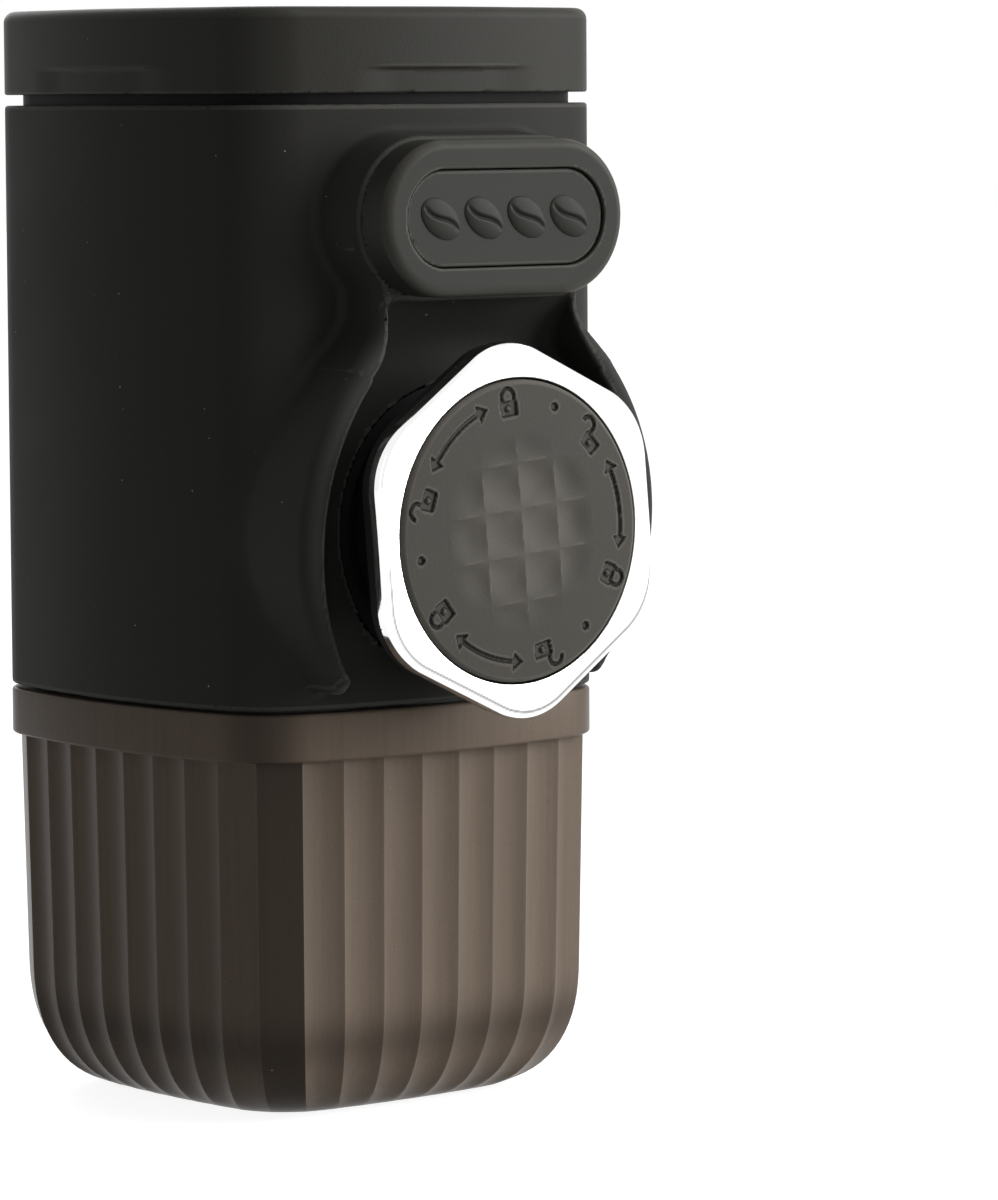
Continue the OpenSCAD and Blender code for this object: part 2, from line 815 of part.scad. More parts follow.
module knob_rim() {
    color([0.9, 0.9, 0.9]) face_extrude(y_rim, y_flange) translate([0, z_axis]) difference() {
        lobed_hex(knob_flat);
        circle(insert_r + slip);
    }
}

// Engraving of the disc: three arcs with a dot between each two, and a grid of lines in the middle
mark_r = 16.7;
mark_w = 0.7;
mark_break = 16;
first_dot = 65;
dot_r = 0.55;
engrave = 0.4;
facet = 5.95;
facet_line = 0.3;
facet_d = 0.2;
grid_half = 12.5;
module knob_insert() {
    color([0.3, 0.29, 0.28]) difference() {
        along_y(insert_r, y_knob, y_flange);
        face_extrude(y_knob - past, y_knob + engrave) translate([0, z_axis]) rotate(first_dot + knob_lean) {
            difference() {
                circle(mark_r + mark_w / 2);
                circle(mark_r - mark_w / 2);
                wedges(mark_break, 0);
            }
            for (k = [0:2]) rotate(k * 120) translate([mark_r, 0]) circle(dot_r);
        }
        // Upright lines through the middle, level lines half a facet off it
        for (k = [-2:2], q = [0, 90]) translate([0, 0, z_axis]) rotate([0, q - knob_lean, 0])
            translate([(k + q / 180) * facet - facet_line / 2, y_knob - past, -grid_half])
                cube([facet_line, past + facet_d, 2 * grid_half]);
    }
}

nut_t = 1.3;
key_r = 1.5;
module knob_screw() {
    color("silver") {
        difference() {
            along_y(nut_r, y_pin - nut_t, y_pin + lie);
            face_extrude(y_pin - nut_t - past, y_pin - nut_t / 2) translate([0, z_axis])
                circle(key_r, $fn = 6);
        }
        along_y(thread_r, y_pin, y_pin + thread_l);
    }
}

// Valve block: the inlet valve sits in its top, the outlet ball under a seat in its middle
valve_r = 2.9;
ball_r = 2.3;
port_r = 1.6;
ball_up = 9.2;
ledge = 1.6;
bill_pocket_r = 3.2;
bill_pocket_h = 8;
disc_seat_h = 1.4;
disc_seat_r = 5;
transfer_r = 2.2;
z_ball = z_deck + ball_up;
z_valve_seat = z_ball + sqrt(ball_r * ball_r - port_r * port_r) + 0.02;
module valve_block() {
    color([0.8, 0.8, 0.78]) difference() {
        union() {
            translate([-block_w / 2, y_chamber, z_deck]) cube([block_w, block_d, z_block - z_deck]);
            face_extrude(y_chamber, y_chamber + plate_t) translate([0, z_axis])
                square([2 * (bolt_x + plate_reach), plate_h], center = true);
        }
        translate([0, y_valve, 0]) {
            translate([0, 0, z_ball]) cylinder(r = port_r, h = z_block - z_ball);
            translate([0, 0, z_block - bill_pocket_h]) cylinder(r = bill_pocket_r, h = bill_pocket_h + past);
            translate([0, 0, z_block - disc_seat_h]) cylinder(r = disc_seat_r + lie, h = disc_seat_h + past);
            translate([0, 0, z_deck + ledge]) cylinder(r = valve_r, h = z_valve_seat - z_deck - ledge);
            translate([0, 0, z_deck - past]) cylinder(r = port_r, h = ledge + past + lie);
        }
        along_y(transfer_r, y_chamber - past, y_valve);
        for (s = [-1, 1]) along_y(shank_r + slip, y_chamber - past, y_chamber + plate_t + past, s * bolt_x);
    }
}

bill_h = 5.2;
module inlet_valve() {
    color([0.8, 0.3, 0.2]) translate([0, y_valve, z_block - disc_seat_h]) difference() {
        union() {
            cylinder(r = disc_seat_r, h = disc_seat_h);
            translate([0, 0, -bill_h]) cylinder(r1 = 1, r2 = 3, h = bill_h);
        }
        translate([0, 0, -3.6]) cylinder(r1 = 0.4, r2 = 2.2, h = disc_seat_h + 3.6 + past);
    }
}

module outlet_ball() {
    color("silver") translate([0, y_valve, z_ball]) sphere(ball_r);
}

outlet_wire = 0.5;
outlet_curls = 5;
outlet_r = 1.9;
ball_sink = 1.7;
outlet_path = coil_path(outlet_r, outlet_curls, ball_up - ball_sink - ledge, outlet_wire);
module outlet_spring() {
    color("silver") translate([0, y_valve, z_deck + ledge]) wound(outlet_path, outlet_wire);
}

block_seal_r = 3.6;
block_seal_t = 0.9;
module block_seal() {
    color([0.12, 0.12, 0.12]) translate([0, y_valve, 0])
        pipe(block_seal_r, transfer_r, z_deck - block_seal_t, z_deck);
}

module block_screws() {
    color("silver") for (s = [-1, 1]) translate([s * bolt_x, y_chamber + plate_t, z_axis]) rotate([90, 0, 0])
        screw(plate_t + pump_flange_t - 0.4);
}

// Cradle under the pump: two ribs on a foot, and two straps over it
rib_t = 4;
rib_at = [y_well + 3, y_well + 16];
cradle_x = cylinder_r + 8.1;
strap_x = cylinder_r + 5.1;
foot_t = 2.1;
strap_t = 2.4;
ear_t = 3;
bridge_w = 6;
strap_grip = 7;
// Places one copy at each of the strap's four screws
module at_straps() {
    for (s = [-1, 1], y = rib_at) translate([s * strap_x, y + rib_t / 2, z_axis]) children();
}

module pump_cradle() {
    color([0.2, 0.2, 0.2]) difference() {
        union() {
            for (y = rib_at) translate([-cradle_x, y, z_deck]) cube([2 * cradle_x, rib_t, z_axis - z_deck]);
            translate([-cradle_x, rib_at[0], z_deck])
                cube([2 * cradle_x, rib_at[1] - rib_at[0] + rib_t, foot_t]);
        }
        along_y(cylinder_r, y_well, y_chamber);
        at_straps() translate([0, 0, -strap_grip - 2]) cylinder(r = tap_r, h = strap_grip + 2 + past);
    }
}

module cradle_strap() {
    color([0.2, 0.2, 0.2]) {
        difference() {
            for (y = rib_at) {
                intersection() {
                    along_y(cylinder_r + strap_t, y, y + rib_t);
                    translate([-cradle_x, y, z_axis]) cube([2 * cradle_x, rib_t, cylinder_r + strap_t]);
                }
                translate([-cradle_x, y, z_axis]) cube([2 * cradle_x, rib_t, ear_t]);
            }
            along_y(cylinder_r, y_well, y_chamber);
            at_straps() translate([0, 0, -past]) cylinder(r = shank_r + lie, h = ear_t + 2 * past);
        }
        // Bridge that makes the two straps one piece
        translate([-bridge_w / 2, rib_at[0], z_axis + cylinder_r + strap_t / 4])
            cube([bridge_w, rib_at[1] - rib_at[0] + rib_t, 3 * strap_t / 4]);
    }
}

module strap_screws() {
    color("silver") at_straps() translate([0, 0, ear_t]) rotate([180, 0, 0]) screw(ear_t + strap_grip);
}

// Brew head: a plate over the cup with a spigot in its mouth and a collar for the filter holder
chamber_h = 1.9;
gasket_in = 1.2;
gasket_r = basket_r + slip;
head_lug_angle = 17;
holder_lug_angle = 14;
lug_reach = 0.5;
module brew_head() {
    color([0.16, 0.16, 0.16]) difference() {
        union() {
            prism(head_half, z_head, z_deck);
            difference() {
                prism(spigot_half, z_seat, z_head + lie);
                prism(spigot_half - spigot_wall, z_seat - past, z_head);
            }
            pipe(collar_out, collar_in, z_seat, z_head + lie);
            // Three bayonet lugs under the collar
            translate([0, 0, z_seat]) linear_extrude(bayonet_t) difference() {
                intersection() {
                    circle(collar_in + lug_reach);
                    wedges(head_lug_angle, 60);
                }
                circle(rim_r + slip);
            }
        }
        // Groove for the cup's seal
        difference() {
            prism(spigot_half + past, groove_z, groove_z + groove_h);
            prism(spigot_half - groove_d, z_seat, z_head);
        }
        // Water chamber over the shower screen
        translate([0, 0, z_head - past]) cylinder(r = shower_r + fit, h = chamber_h + past);
        // Groove for the group gasket
        pipe(rim_r, gasket_r, z_head - past, z_head + gasket_in);
        translate([0, y_valve, z_head]) cylinder(r = port_r - lie, h = head_t + past);
        translate([0, y_valve, z_deck - block_seal_t]) cylinder(r = block_seal_r, h = past);
        cylinder(r = tap_r, h = shower_z + shower_t + 2.3);
        // Holes of the four screws, with room for their heads
        at_posts() {
            translate([0, 0, z_head - past]) cylinder(r = tap_r + 0.4, h = head_t + 2 * past);
            translate([0, 0, z_seat - past]) cylinder(r = head_r + fit, h = z_head - z_seat + past);
        }
    }
}

module head_screws() {
    color("silver") at_posts() translate([0, 0, z_head]) screw(head_t + screw_grip);
}

module group_gasket() {
    color([0.7, 0.25, 0.2])
        pipe(rim_r - fit, gasket_r + fit, z_rim + flange_sheet + lie, z_head + gasket_in);
}

shower_hole_r = 0.6;
shower_pitch = 4;
module shower_screen() {
    color("silver") difference() {
        translate([0, 0, shower_z]) cylinder(r = shower_r, h = shower_t);
        for (ring = [1:4], k = [0:ring * 8 - 1]) rotate(k * 45 / ring)
            translate([ring * shower_pitch, 0, z_head - past])
                cylinder(r = shower_hole_r, h = shower_t + 2 * past + lie, $fn = 24);
        translate([0, 0, z_head - past]) cylinder(r = shank_r + lie, h = shower_t + 2 * past + lie);
    }
}

slot_w = 0.8;
slot_d = 0.5;
pan_h = 1.2;
module shower_screw() {
    color("silver") translate([0, 0, shower_z]) {
        translate([0, 0, -pan_h]) difference() {
            cylinder(r = head_r, h = pan_h);
            translate([-head_r - past, -slot_w / 2, -past])
                cube([2 * (head_r + past), slot_w, past + slot_d]);
        }
        cylinder(r = shank_r, h = shower_t + 2.1);
    }
}

basket_hole_r = 0.4;
basket_pitch = 2.8;
flange_inset = 0.4;
module filter_basket() {
    color("silver") difference() {
        union() {
            translate([0, 0, z_bowl]) cylinder(r = basket_r, h = basket_h);
            translate([0, 0, z_rim]) cylinder(r = rim_r - flange_inset, h = flange_sheet);
        }
        translate([0, 0, z_bowl + sheet]) cylinder(r = basket_r - sheet, h = basket_h + past);
        hole_rings(5, basket_pitch) translate([0, 0, z_bowl - past])
            cylinder(r = basket_hole_r, h = sheet + 2 * past, $fn = 16);
    }
}

// Filter holder: its lugs turn in over those of the collar, and ribs give a grip
rib_count = 12;
rib_r = 0.9;
rib_h = 9;
outlet_seat_r = 3.6;
module portafilter() {
    color([0.16, 0.16, 0.16]) difference() {
        union() {
            translate([0, 0, z_holder]) cylinder(r = rim_r, h = z_rim - z_holder);
            translate([0, 0, z_seat + bayonet_t + 2 * lie]) linear_extrude(2) intersection() {
                circle(collar_in - slip);
                wedges(holder_lug_angle, 0);
            }
            for (k = [0:rib_count - 1]) rotate((k + 0.5) * 360 / rib_count)
                translate([rim_r, 0, z_holder + 3]) cylinder(r = rib_r, h = rib_h);
        }
        translate([0, 0, z_holder + holder_floor]) cylinder(r = basket_r + fit, h = z_rim);
        translate([0, 0, z_holder - past]) cylinder(r = outlet_seat_r, h = holder_floor + 2 * past);
    }
}

spout_r = 3;
module spout() {
    color("silver") difference() {
        union() {
            translate([0, 0, z_holder - spout_l]) cylinder(r1 = spout_r, r2 = spout_r + 2, h = spout_l);
            translate([0, 0, z_holder]) cylinder(r = outlet_seat_r - lie, h = holder_floor);
        }
        translate([0, 0, z_holder - spout_l - past])
            cylinder(r = drain_r, h = spout_l + holder_floor + 2 * past);
    }
}

cup();
casing();
oval_cap();
oval_inlay();
lid();
lid_gasket();
vent_valve();
water_tank();
intake_screen();
intake_tube();
pump_cylinder();
gland_bush();
gland_seal();
piston_rod();
piston_head();
piston_seal();
rod_clip();
return_spring();
knob_well();
lock_ring();
knob_core();
knob_rim();
knob_insert();
knob_screw();
valve_block();
inlet_valve();
outlet_ball();
outlet_spring();
block_seal();
block_screws();
pump_cradle();
cradle_strap();
strap_screws();
brew_head();
head_screws();
cup_seal();
group_gasket();
shower_screen();
shower_screw();
filter_basket();
portafilter();
spout();
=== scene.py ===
"""Looks of a hand-pump portable coffee maker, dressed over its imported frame.

Lengths are millimetres inside the classes and become metres when a mesh is made. Z is up, the knob
faces -Y, and the origin is the middle of the cup's base, as in the frame.
"""
import json
import logging
import math
from dataclasses import dataclass
from enum import Enum
from typing import Callable, Sequence

import bpy
import numpy as np
from mathutils import Matrix, Vector


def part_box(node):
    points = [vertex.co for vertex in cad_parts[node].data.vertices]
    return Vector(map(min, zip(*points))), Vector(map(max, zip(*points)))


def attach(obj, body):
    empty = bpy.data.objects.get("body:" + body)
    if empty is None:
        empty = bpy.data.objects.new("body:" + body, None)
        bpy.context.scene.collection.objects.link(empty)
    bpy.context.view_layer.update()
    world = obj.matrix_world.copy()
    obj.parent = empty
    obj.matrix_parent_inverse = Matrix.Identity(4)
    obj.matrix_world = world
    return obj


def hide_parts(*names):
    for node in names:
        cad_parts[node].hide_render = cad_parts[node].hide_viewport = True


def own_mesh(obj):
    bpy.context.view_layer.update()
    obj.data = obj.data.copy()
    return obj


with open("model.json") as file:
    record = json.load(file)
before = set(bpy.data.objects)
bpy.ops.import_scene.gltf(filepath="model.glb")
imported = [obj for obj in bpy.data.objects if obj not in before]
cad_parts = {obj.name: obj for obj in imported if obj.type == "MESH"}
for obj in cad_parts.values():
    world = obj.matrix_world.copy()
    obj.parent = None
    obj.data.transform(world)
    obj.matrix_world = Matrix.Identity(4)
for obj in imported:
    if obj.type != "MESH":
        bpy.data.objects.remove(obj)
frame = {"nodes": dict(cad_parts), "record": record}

Array = np.ndarray
Field = Callable[[Array, Array, Array], Array]
Colour = tuple[float, float, float]
Place = tuple[float, float, float]
Piece = bpy.types.Object
Socket = bpy.types.NodeSocket

MM = 0.001
DUST: Colour = (0.35, 0.33, 0.3)
# Colour of dirt and painted shade in hollows
DIRT_AND_SHADE: Colour = (0.006, 0.006, 0.006)
# Colour of the painted dark reflection along the chrome ring's edge
DARK_REFLECTION: Colour = (0.02, 0.02, 0.02)
WHITE: Colour = (1.0, 1.0, 1.0)
log = logging.getLogger("coffee_maker")


@dataclass(frozen=True)
class Box:
    """Lowest and highest places of a frame node, in millimetres."""

    x0: float
    y0: float
    z0: float
    x1: float
    y1: float
    z1: float

    @classmethod
    def of(cls, node: str) -> "Box":
        """Reads the box of a node of the frame."""
        low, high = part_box(node)
        return cls(*(v / MM for v in low), *(v / MM for v in high))

    @property
    def middle(self) -> Place:
        """Middle of the box."""
        return (self.x0 + self.x1) / 2, (self.y0 + self.y1) / 2, (self.z0 + self.z1) / 2

    def grid(self, axis: str, step: float, room: float = 0.4) -> Array:
        """Grid lines over the box along x, y or z, with some room at both ends."""
        return steps(getattr(self, axis + "0") - room, getattr(self, axis + "1") + room, step)


def steps(start: float, end: float, step: float) -> Array:
    """Even steps from start to end, both of them in."""
    return np.linspace(start, end, max(2, int(round((end - start) / step)) + 1))


def grid_step(full: float) -> float:
    return full


def clamp01(value: Array) -> Array:
    """Holds a value between 0 and 1."""
    return np.clip(value, 0.0, 1.0)


def smooth_step(value: Array, start: float, end: float) -> Array:
    """Eases from 0 at start to 1 at end."""
    t = clamp01((value - start) / (end - start))
    return t * t * (3.0 - 2.0 * t)


def cut_round(a: Array, b: Array, radius: float) -> Array:
    """What two solids share, with the edge between them rounded.

    Args:
        a: Signed distance to the first solid, below 0 inside.
        b: Signed distance to the second solid.
        radius: Radius of the edge.

    Returns:
        Signed distance to the shared part.
    """
    over_a, over_b = np.maximum(a + radius, 0), np.maximum(b + radius, 0)
    return np.minimum(np.maximum(a, b), -radius) + np.hypot(over_a, over_b)


def join_round(a: Array, b: Array, radius: float) -> Array:
    """Two solids joined, with a hollow fillet where they meet.

    Args:
        a: Signed distance to the first solid, below 0 inside.
        b: Signed distance to the second solid.
        radius: Radius of the fillet.

    Returns:
        Signed distance to the joined solid.
    """
    return -cut_round(-a, -b, radius)


def melt(a: Array, b: Array, width: float) -> Array:
    """Two solids joined with a soft swell where their surfaces run close together.

    Args:
        a: Signed distance to the first solid, below 0 inside.
        b: Signed distance to the second solid.
        width: How far the swell reaches.

    Returns:
        Signed distance to the joined solid.
    """
    share = clamp01(0.5 + 0.5 * (b - a) / width)
    return b * (1 - share) + a * share - width * share * (1 - share)


def slot_shape(x: Array, z: Array, width: float, height: float) -> Array:
    """Signed distance to a slot outline with round ends, round the origin."""
    reach = np.maximum(np.abs(x) - (width - height) / 2, 0.0)
    return np.hypot(reach, z) - height / 2


@dataclass(frozen=True)
class RoundSquare:
    """Level section of the body: a square with bowed sides and round corners."""

    side_r: float = 98.0

    def corner_middle(self, flat: Array, corner: Array) -> Array:
        """Distance of a corner arc's middle from either axis.

        Args:
            flat: Distance from the middle to the flat of a side.
            corner: Radius of the corners.

        Returns:
            The distance, the same along both axes.
        """
        d = self.side_r - flat
        s = self.side_r - corner
        return (-d + np.sqrt(2 * s * s - d * d)) / 2

    def distance(self, x: Array, y: Array, flat: float, corner: float) -> Array:
        """Signed distance to the outline, below 0 inside."""
        d = self.side_r - flat
        c = self.corner_middle(flat, corner)
        u = np.maximum(np.abs(x), np.abs(y))
        v = np.minimum(np.abs(x), np.abs(y))
        side = np.hypot(u + d, v) - self.side_r
        round_part = np.hypot(u - c, v - c) - corner
        return np.where((c + d) * v - c * (u + d) > 0, round_part, side)

    def walk(self, share: Array, flat: Array, corner: Array) -> tuple[Array, Array, Array, Array]:
        """Points at even steps along the outline.

        Args:
            share: Share of the way round, from 0 to 1, from the middle of the +X side.
            flat: Distance from the middle to the flat of a side.
            corner: Radius of the corners.

        Returns:
            The points' x and y, and the outward normal's x and y.
        """
        c = self.corner_middle(flat, corner)
        lean = np.arctan2(c, c + self.side_r - flat)
        side_len = self.side_r * lean
        corner_len = corner * (math.pi / 4 - lean)
        turns = np.mod(share, 1.0) * 8
        octant = np.floor(turns).astype(int)
        flip = octant % 2 == 1
        along = np.where(flip, 1 - (turns - octant), turns - octant) * (side_len + corner_len)
        on_side = along <= side_len
        angle = np.where(on_side, along / self.side_r, lean + (along - side_len) / corner)
        nx, ny = np.cos(angle), np.sin(angle)
        px = np.where(on_side, flat - self.side_r + self.side_r * nx, c + corner * nx)
        py = np.where(on_side, self.side_r * ny, c + corner * ny)
        px, py = np.where(flip, py, px), np.where(flip, px, py)
        nx, ny = np.where(flip, ny, nx), np.where(flip, nx, ny)
        quarter = (octant // 2) * (math.pi / 2)
        cq, sq = np.cos(quarter), np.sin(quarter)
        return px * cq - py * sq, px * sq + py * cq, nx * cq - ny * sq, nx * sq + ny * cq


SECTION = RoundSquare()


def new_piece(name: str, points: Array, faces: list, normals: Array | None = None) -> Piece:
    """Makes an object at the origin from points in millimetres.

    Args:
        name: Name of the piece.
        points: One row of x, y, z for each point.
        faces: Corners of each face, counter-clockwise from outside.
        normals: One outward normal for each point, where the shading follows them.

    Returns:
        The new object, in the scene's collection.
    """
    mesh = bpy.data.meshes.new(name)
    mesh.from_pydata((points * MM).tolist(), [], faces)
    mesh.polygons.foreach_set("use_smooth", np.ones(len(mesh.polygons), dtype=bool))
    mesh.update()
    if normals is not None:
        mesh.normals_split_custom_set_from_vertices(normals.tolist())
    made = bpy.data.objects.new(name, mesh)
    bpy.context.scene.collection.objects.link(made)
    return made


def places_of(piece: Piece) -> Array:
    """Places of a piece's points in millimetres, one row each."""
    flat = np.empty(len(piece.data.vertices) * 3, dtype=np.float32)
    piece.data.vertices.foreach_get("co", flat)
    return flat.reshape(-1, 3).astype(float) / MM


def keep_values(piece: Piece, label: str, values: Array, domain: str = "POINT") -> None:
    """Keeps a number for each point or face of a piece, for its node trees to read."""
    piece.data.attributes.new(label, "FLOAT", domain).data.foreach_set("value", values)


def slope(shape: Field, points: Array, step: float = 0.02) -> Array:
    """Gradient of a signed distance at points, by central differences."""
    x, y, z = points.T
    return np.stack([
        shape(x + step, y, z) - shape(x - step, y, z),
        shape(x, y + step, z) - shape(x, y - step, z),
        shape(x, y, z + step) - shape(x, y, z - step),
    ], axis=1) / (2 * step)


def settle_on(shape: Field, points: Array, rounds: int = 4, reach: float = 0.4, least: float = 0.05) -> Array:
    """Moves points onto the surface of a solid by Newton steps.

    Args:
        shape: Signed distance to the solid.
        points: The points, one row each.
        rounds: Number of steps.
        reach: Longest step, in millimetres.
        least: Least squared slope that a step is worked out with.

    Returns:
        The moved points.
    """
    for _ in range(rounds):
        x, y, z = points.T
        grade = slope(shape, points)
        size = np.maximum(np.sum(grade * grade, axis=1), least)
        move = np.clip(shape(x, y, z) / size, -reach, reach)
        points = points - grade * move[:, None]
    return points


def skin(name: str, shape: Field, xs: Array, ys: Array, zs: Array) -> Piece:
    """Covers a solid, given by its signed distance, with a smooth closed mesh.

    One point is put in each cell of the grid that the surface passes, and one face across each
    grid line that it crosses.

    Args:
        name: Name of the piece.
        shape: Signed distance to the solid, below 0 inside.
        xs: Grid lines along X, in millimetres.
        ys: Grid lines along Y.
        zs: Grid lines along Z.

    Returns:
        The new object, with its bends marked.
    """
    inside = shape(*np.meshgrid(xs, ys, zs, indexing="ij")) < 0
    cell = np.zeros([n - 1 for n in inside.shape], dtype=np.int8)
    for i, j, k in np.ndindex(2, 2, 2):
        cell += inside[i:i - 1 or None, j:j - 1 or None, k:k - 1 or None]
    used = (cell > 0) & (cell < 8)
    number = np.full(cell.shape, -1)
    number[used] = np.arange(used.sum())
    middles = [(lines[at] + lines[at + 1]) / 2 for lines, at in zip((xs, ys, zs), np.nonzero(used))]
    faces = []
    for axis in range(3):
        near = np.take(inside, range(inside.shape[axis] - 1), axis)
        far = np.take(inside, range(1, inside.shape[axis]), axis)
        crossed = near != far
        first, second = [a for a in range(3) if a != axis]
        for other in (first, second):
            crossed = np.take(crossed, range(1, crossed.shape[other] - 1), other)
        corner = np.array(np.nonzero(crossed))
        corner[first] += 1
        corner[second] += 1
        quad = []
        for back_first, back_second in ((1, 1), (0, 1), (0, 0), (1, 0)):
            at = corner.copy()
            at[first] -= back_first
            at[second] -= back_second
            quad.append(number[tuple(at)])
        quad = np.stack(quad, axis=1)
        out = near[tuple(corner)]
        if axis == 1:
            out = ~out
        faces.append(np.where(out[:, None], quad, quad[:, ::-1]))
    points = settle_on(shape, np.stack(middles, axis=1))
    grade = slope(shape, points)
    grade /= np.maximum(np.linalg.norm(grade, axis=1, keepdims=True), 1e-6)
    piece = new_piece(name, points, np.concatenate(faces).tolist(), grade)
    mark_bends(piece, shape)
    return piece


def mark_bends(piece: Piece, shape: Field, step: float = 0.25, most: float = 8.0) -> None:
    """Keeps how sharply the surface bends, above 0 on raised edges and below 0 in hollows.

    Args:
        piece: The skin of the solid.
        shape: Signed distance to the solid.
        step: Distance at which the bend is measured, in millimetres.
        most: Strongest bend that is kept, per millimetre.
    """
    x, y, z = places_of(piece).T
    around = (shape(x + step, y, z) + shape(x - step, y, z) + shape(x, y + step, z) + shape(x, y - step, z)
              + shape(x, y, z + step) + shape(x, y, z - step))
    bend = (around - 6 * shape(x, y, z)) / step ** 2
    keep_values(piece, "bend", np.clip(bend, -most, most))


def loft(name: str, rings: Sequence[Array]) -> Piece:
    """Joins rings of points, one after another, into one closed skin.

    Args:
        name: Name of the piece.
        rings: Rings with as many points each, counter-clockwise as seen from where the rings lead
            to. The first and last ring each close on a point.

    Returns:
        The new object.
    """
    count = len(rings[0])
    start, end = rings[0].mean(axis=0, keepdims=True), rings[-1].mean(axis=0, keepdims=True)
    i = np.arange(count)
    j = (i + 1) % count
    faces = []
    for k in range(len(rings) - 1):
        low, high = 1 + k * count, 1 + (k + 1) * count
        faces += np.stack([low + i, low + j, high + j, high + i], axis=1).tolist()
    last = 1 + (len(rings) - 1) * count
    faces += np.stack([np.zeros_like(i), 1 + j, 1 + i], axis=1).tolist()
    faces += np.stack([np.full_like(i, last + count), last + i, last + j], axis=1).tolist()
    return new_piece(name, np.concatenate([start, *rings, end]), faces)


class Graph:
    """A node tree with short ways to add and join nodes."""

    def __init__(self, tree: bpy.types.NodeTree) -> None:
        """Holds the tree."""
        self.tree = tree

    def feed(self, node: bpy.types.Node, inputs: dict) -> None:
        """Writes values, or links sockets, to a node's inputs by their name or number."""
        for key, value in inputs.items():
            if isinstance(value, Socket):
                self.tree.links.new(value, node.inputs[key])
            else:
                node.inputs[key].default_value = value

    def node(self, kind: str, inputs: dict | None = None, **settings: object) -> bpy.types.Node:
        """Adds a node.

        Args:
            kind: The node's type.
            inputs: Values, or sockets to link from, by input name or number.
            settings: The node's own settings.

        Returns:
            The new node.
        """
        made = self.tree.nodes.new(kind)
        for key, value in settings.items():
            setattr(made, key, value)
        self.feed(made, inputs or {})
        return made

    def math(self, operation: str, *values: object) -> Socket:
        """Adds a math node and returns its output."""
        return self.node("ShaderNodeMath", dict(enumerate(values)), operation=operation).outputs[0]

    def product(self, first: object, *others: object) -> Socket:
        """Multiplies values, one after another."""
        for value in others:
            first = self.math("MULTIPLY", first, value)
        return first

    def bell(self, off: object) -> Socket:
        """Gives a bell curve: 1 where off is 0, falling away on both sides."""
        return self.math("EXPONENT", self.product(off, off, -1.0))

    def vector(self, operation: str, inputs: dict) -> Socket:
        """Adds a vector math node and returns its output."""
        return self.node("ShaderNodeVectorMath", inputs, operation=operation).outputs[0]

    def combine(self, x: object, y: object, z: object) -> Socket:
        """Joins three numbers into a vector."""
        return self.node("ShaderNodeCombineXYZ", {0: x, 1: y, 2: z}).outputs[0]

    def mix(self, factor: object, a: object, b: object) -> Socket:
        """Mixes two colours and returns the result."""
        return self.node("ShaderNodeMix", {0: factor, 6: a, 7: b}, data_type="RGBA").outputs[2]

    def ramp(self, value: Socket, start: object, end: object, kind: str = "LINEAR") -> Socket:
        """Rises from 0 at start to 1 at end."""
        inputs = {"Value": value, "From Min": start, "From Max": end}
        return self.node("ShaderNodeMapRange", inputs, interpolation_type=kind).outputs[0]

    def place(self) -> Socket:
        """Gives the place on the object, in the object's own frame."""
        return self.node("ShaderNodeTexCoord").outputs["Object"]

    def noise(self, place: Socket, scale: object, detail: float, rough: float = 0.5) -> Socket:
        """Adds a noise texture and returns its value."""
        inputs = {"Vector": place, "Scale": scale, "Detail": detail, "Roughness": rough}
        return self.node("ShaderNodeTexNoise", inputs).outputs[0]

    def kept(self, label: str) -> Socket:
        """Reads in a material the numbers that a piece keeps under a label."""
        return self.node("ShaderNodeAttribute", attribute_name=label).outputs["Fac"]

    def named(self, label: str, kind: str = "FLOAT") -> Socket:
        """Reads in a geometry tree an attribute of the mesh."""
        return self.node("GeometryNodeInputNamedAttribute", {"Name": label}, data_type=kind).outputs[0]

    def bump(self, height: Socket, depth: float) -> Socket:
        """Turns a height into a bumpy normal, of a depth in millimetres."""
        inputs = {"Strength": 1.0, "Distance": depth * MM, "Height": height}
        return self.node("ShaderNodeBump", inputs).outputs[0]

    def group(self, tree: bpy.types.NodeTree, inputs: dict | None = None) -> bpy.types.NodeOutputs:
        """Adds a shared node group and returns its outputs."""
        return self.node("ShaderNodeGroup", inputs, node_tree=tree).outputs


def new_group(name: str, inputs: dict[str, float],
              outputs: Sequence[str]) -> tuple[Graph, bpy.types.NodeOutputs, bpy.types.Node]:
    """Starts a shader node group with named inputs and outputs.

    Args:
        name: Name of the group.
        inputs: Default of each input, by name.
        outputs: Names of the outputs.

    Returns:
        The group's graph, its given inputs and its output node.
    """
    tree = bpy.data.node_groups.new(name, "ShaderNodeTree")
    for label, default in inputs.items():
        socket = tree.interface.new_socket(name=label, in_out="INPUT", socket_type="NodeSocketFloat")
        socket.default_value = default
    for label in outputs:
        tree.interface.new_socket(name=label, in_out="OUTPUT", socket_type="NodeSocketFloat")
    graph = Graph(tree)
    return graph, graph.node("NodeGroupInput").outputs, graph.node("NodeGroupOutput")


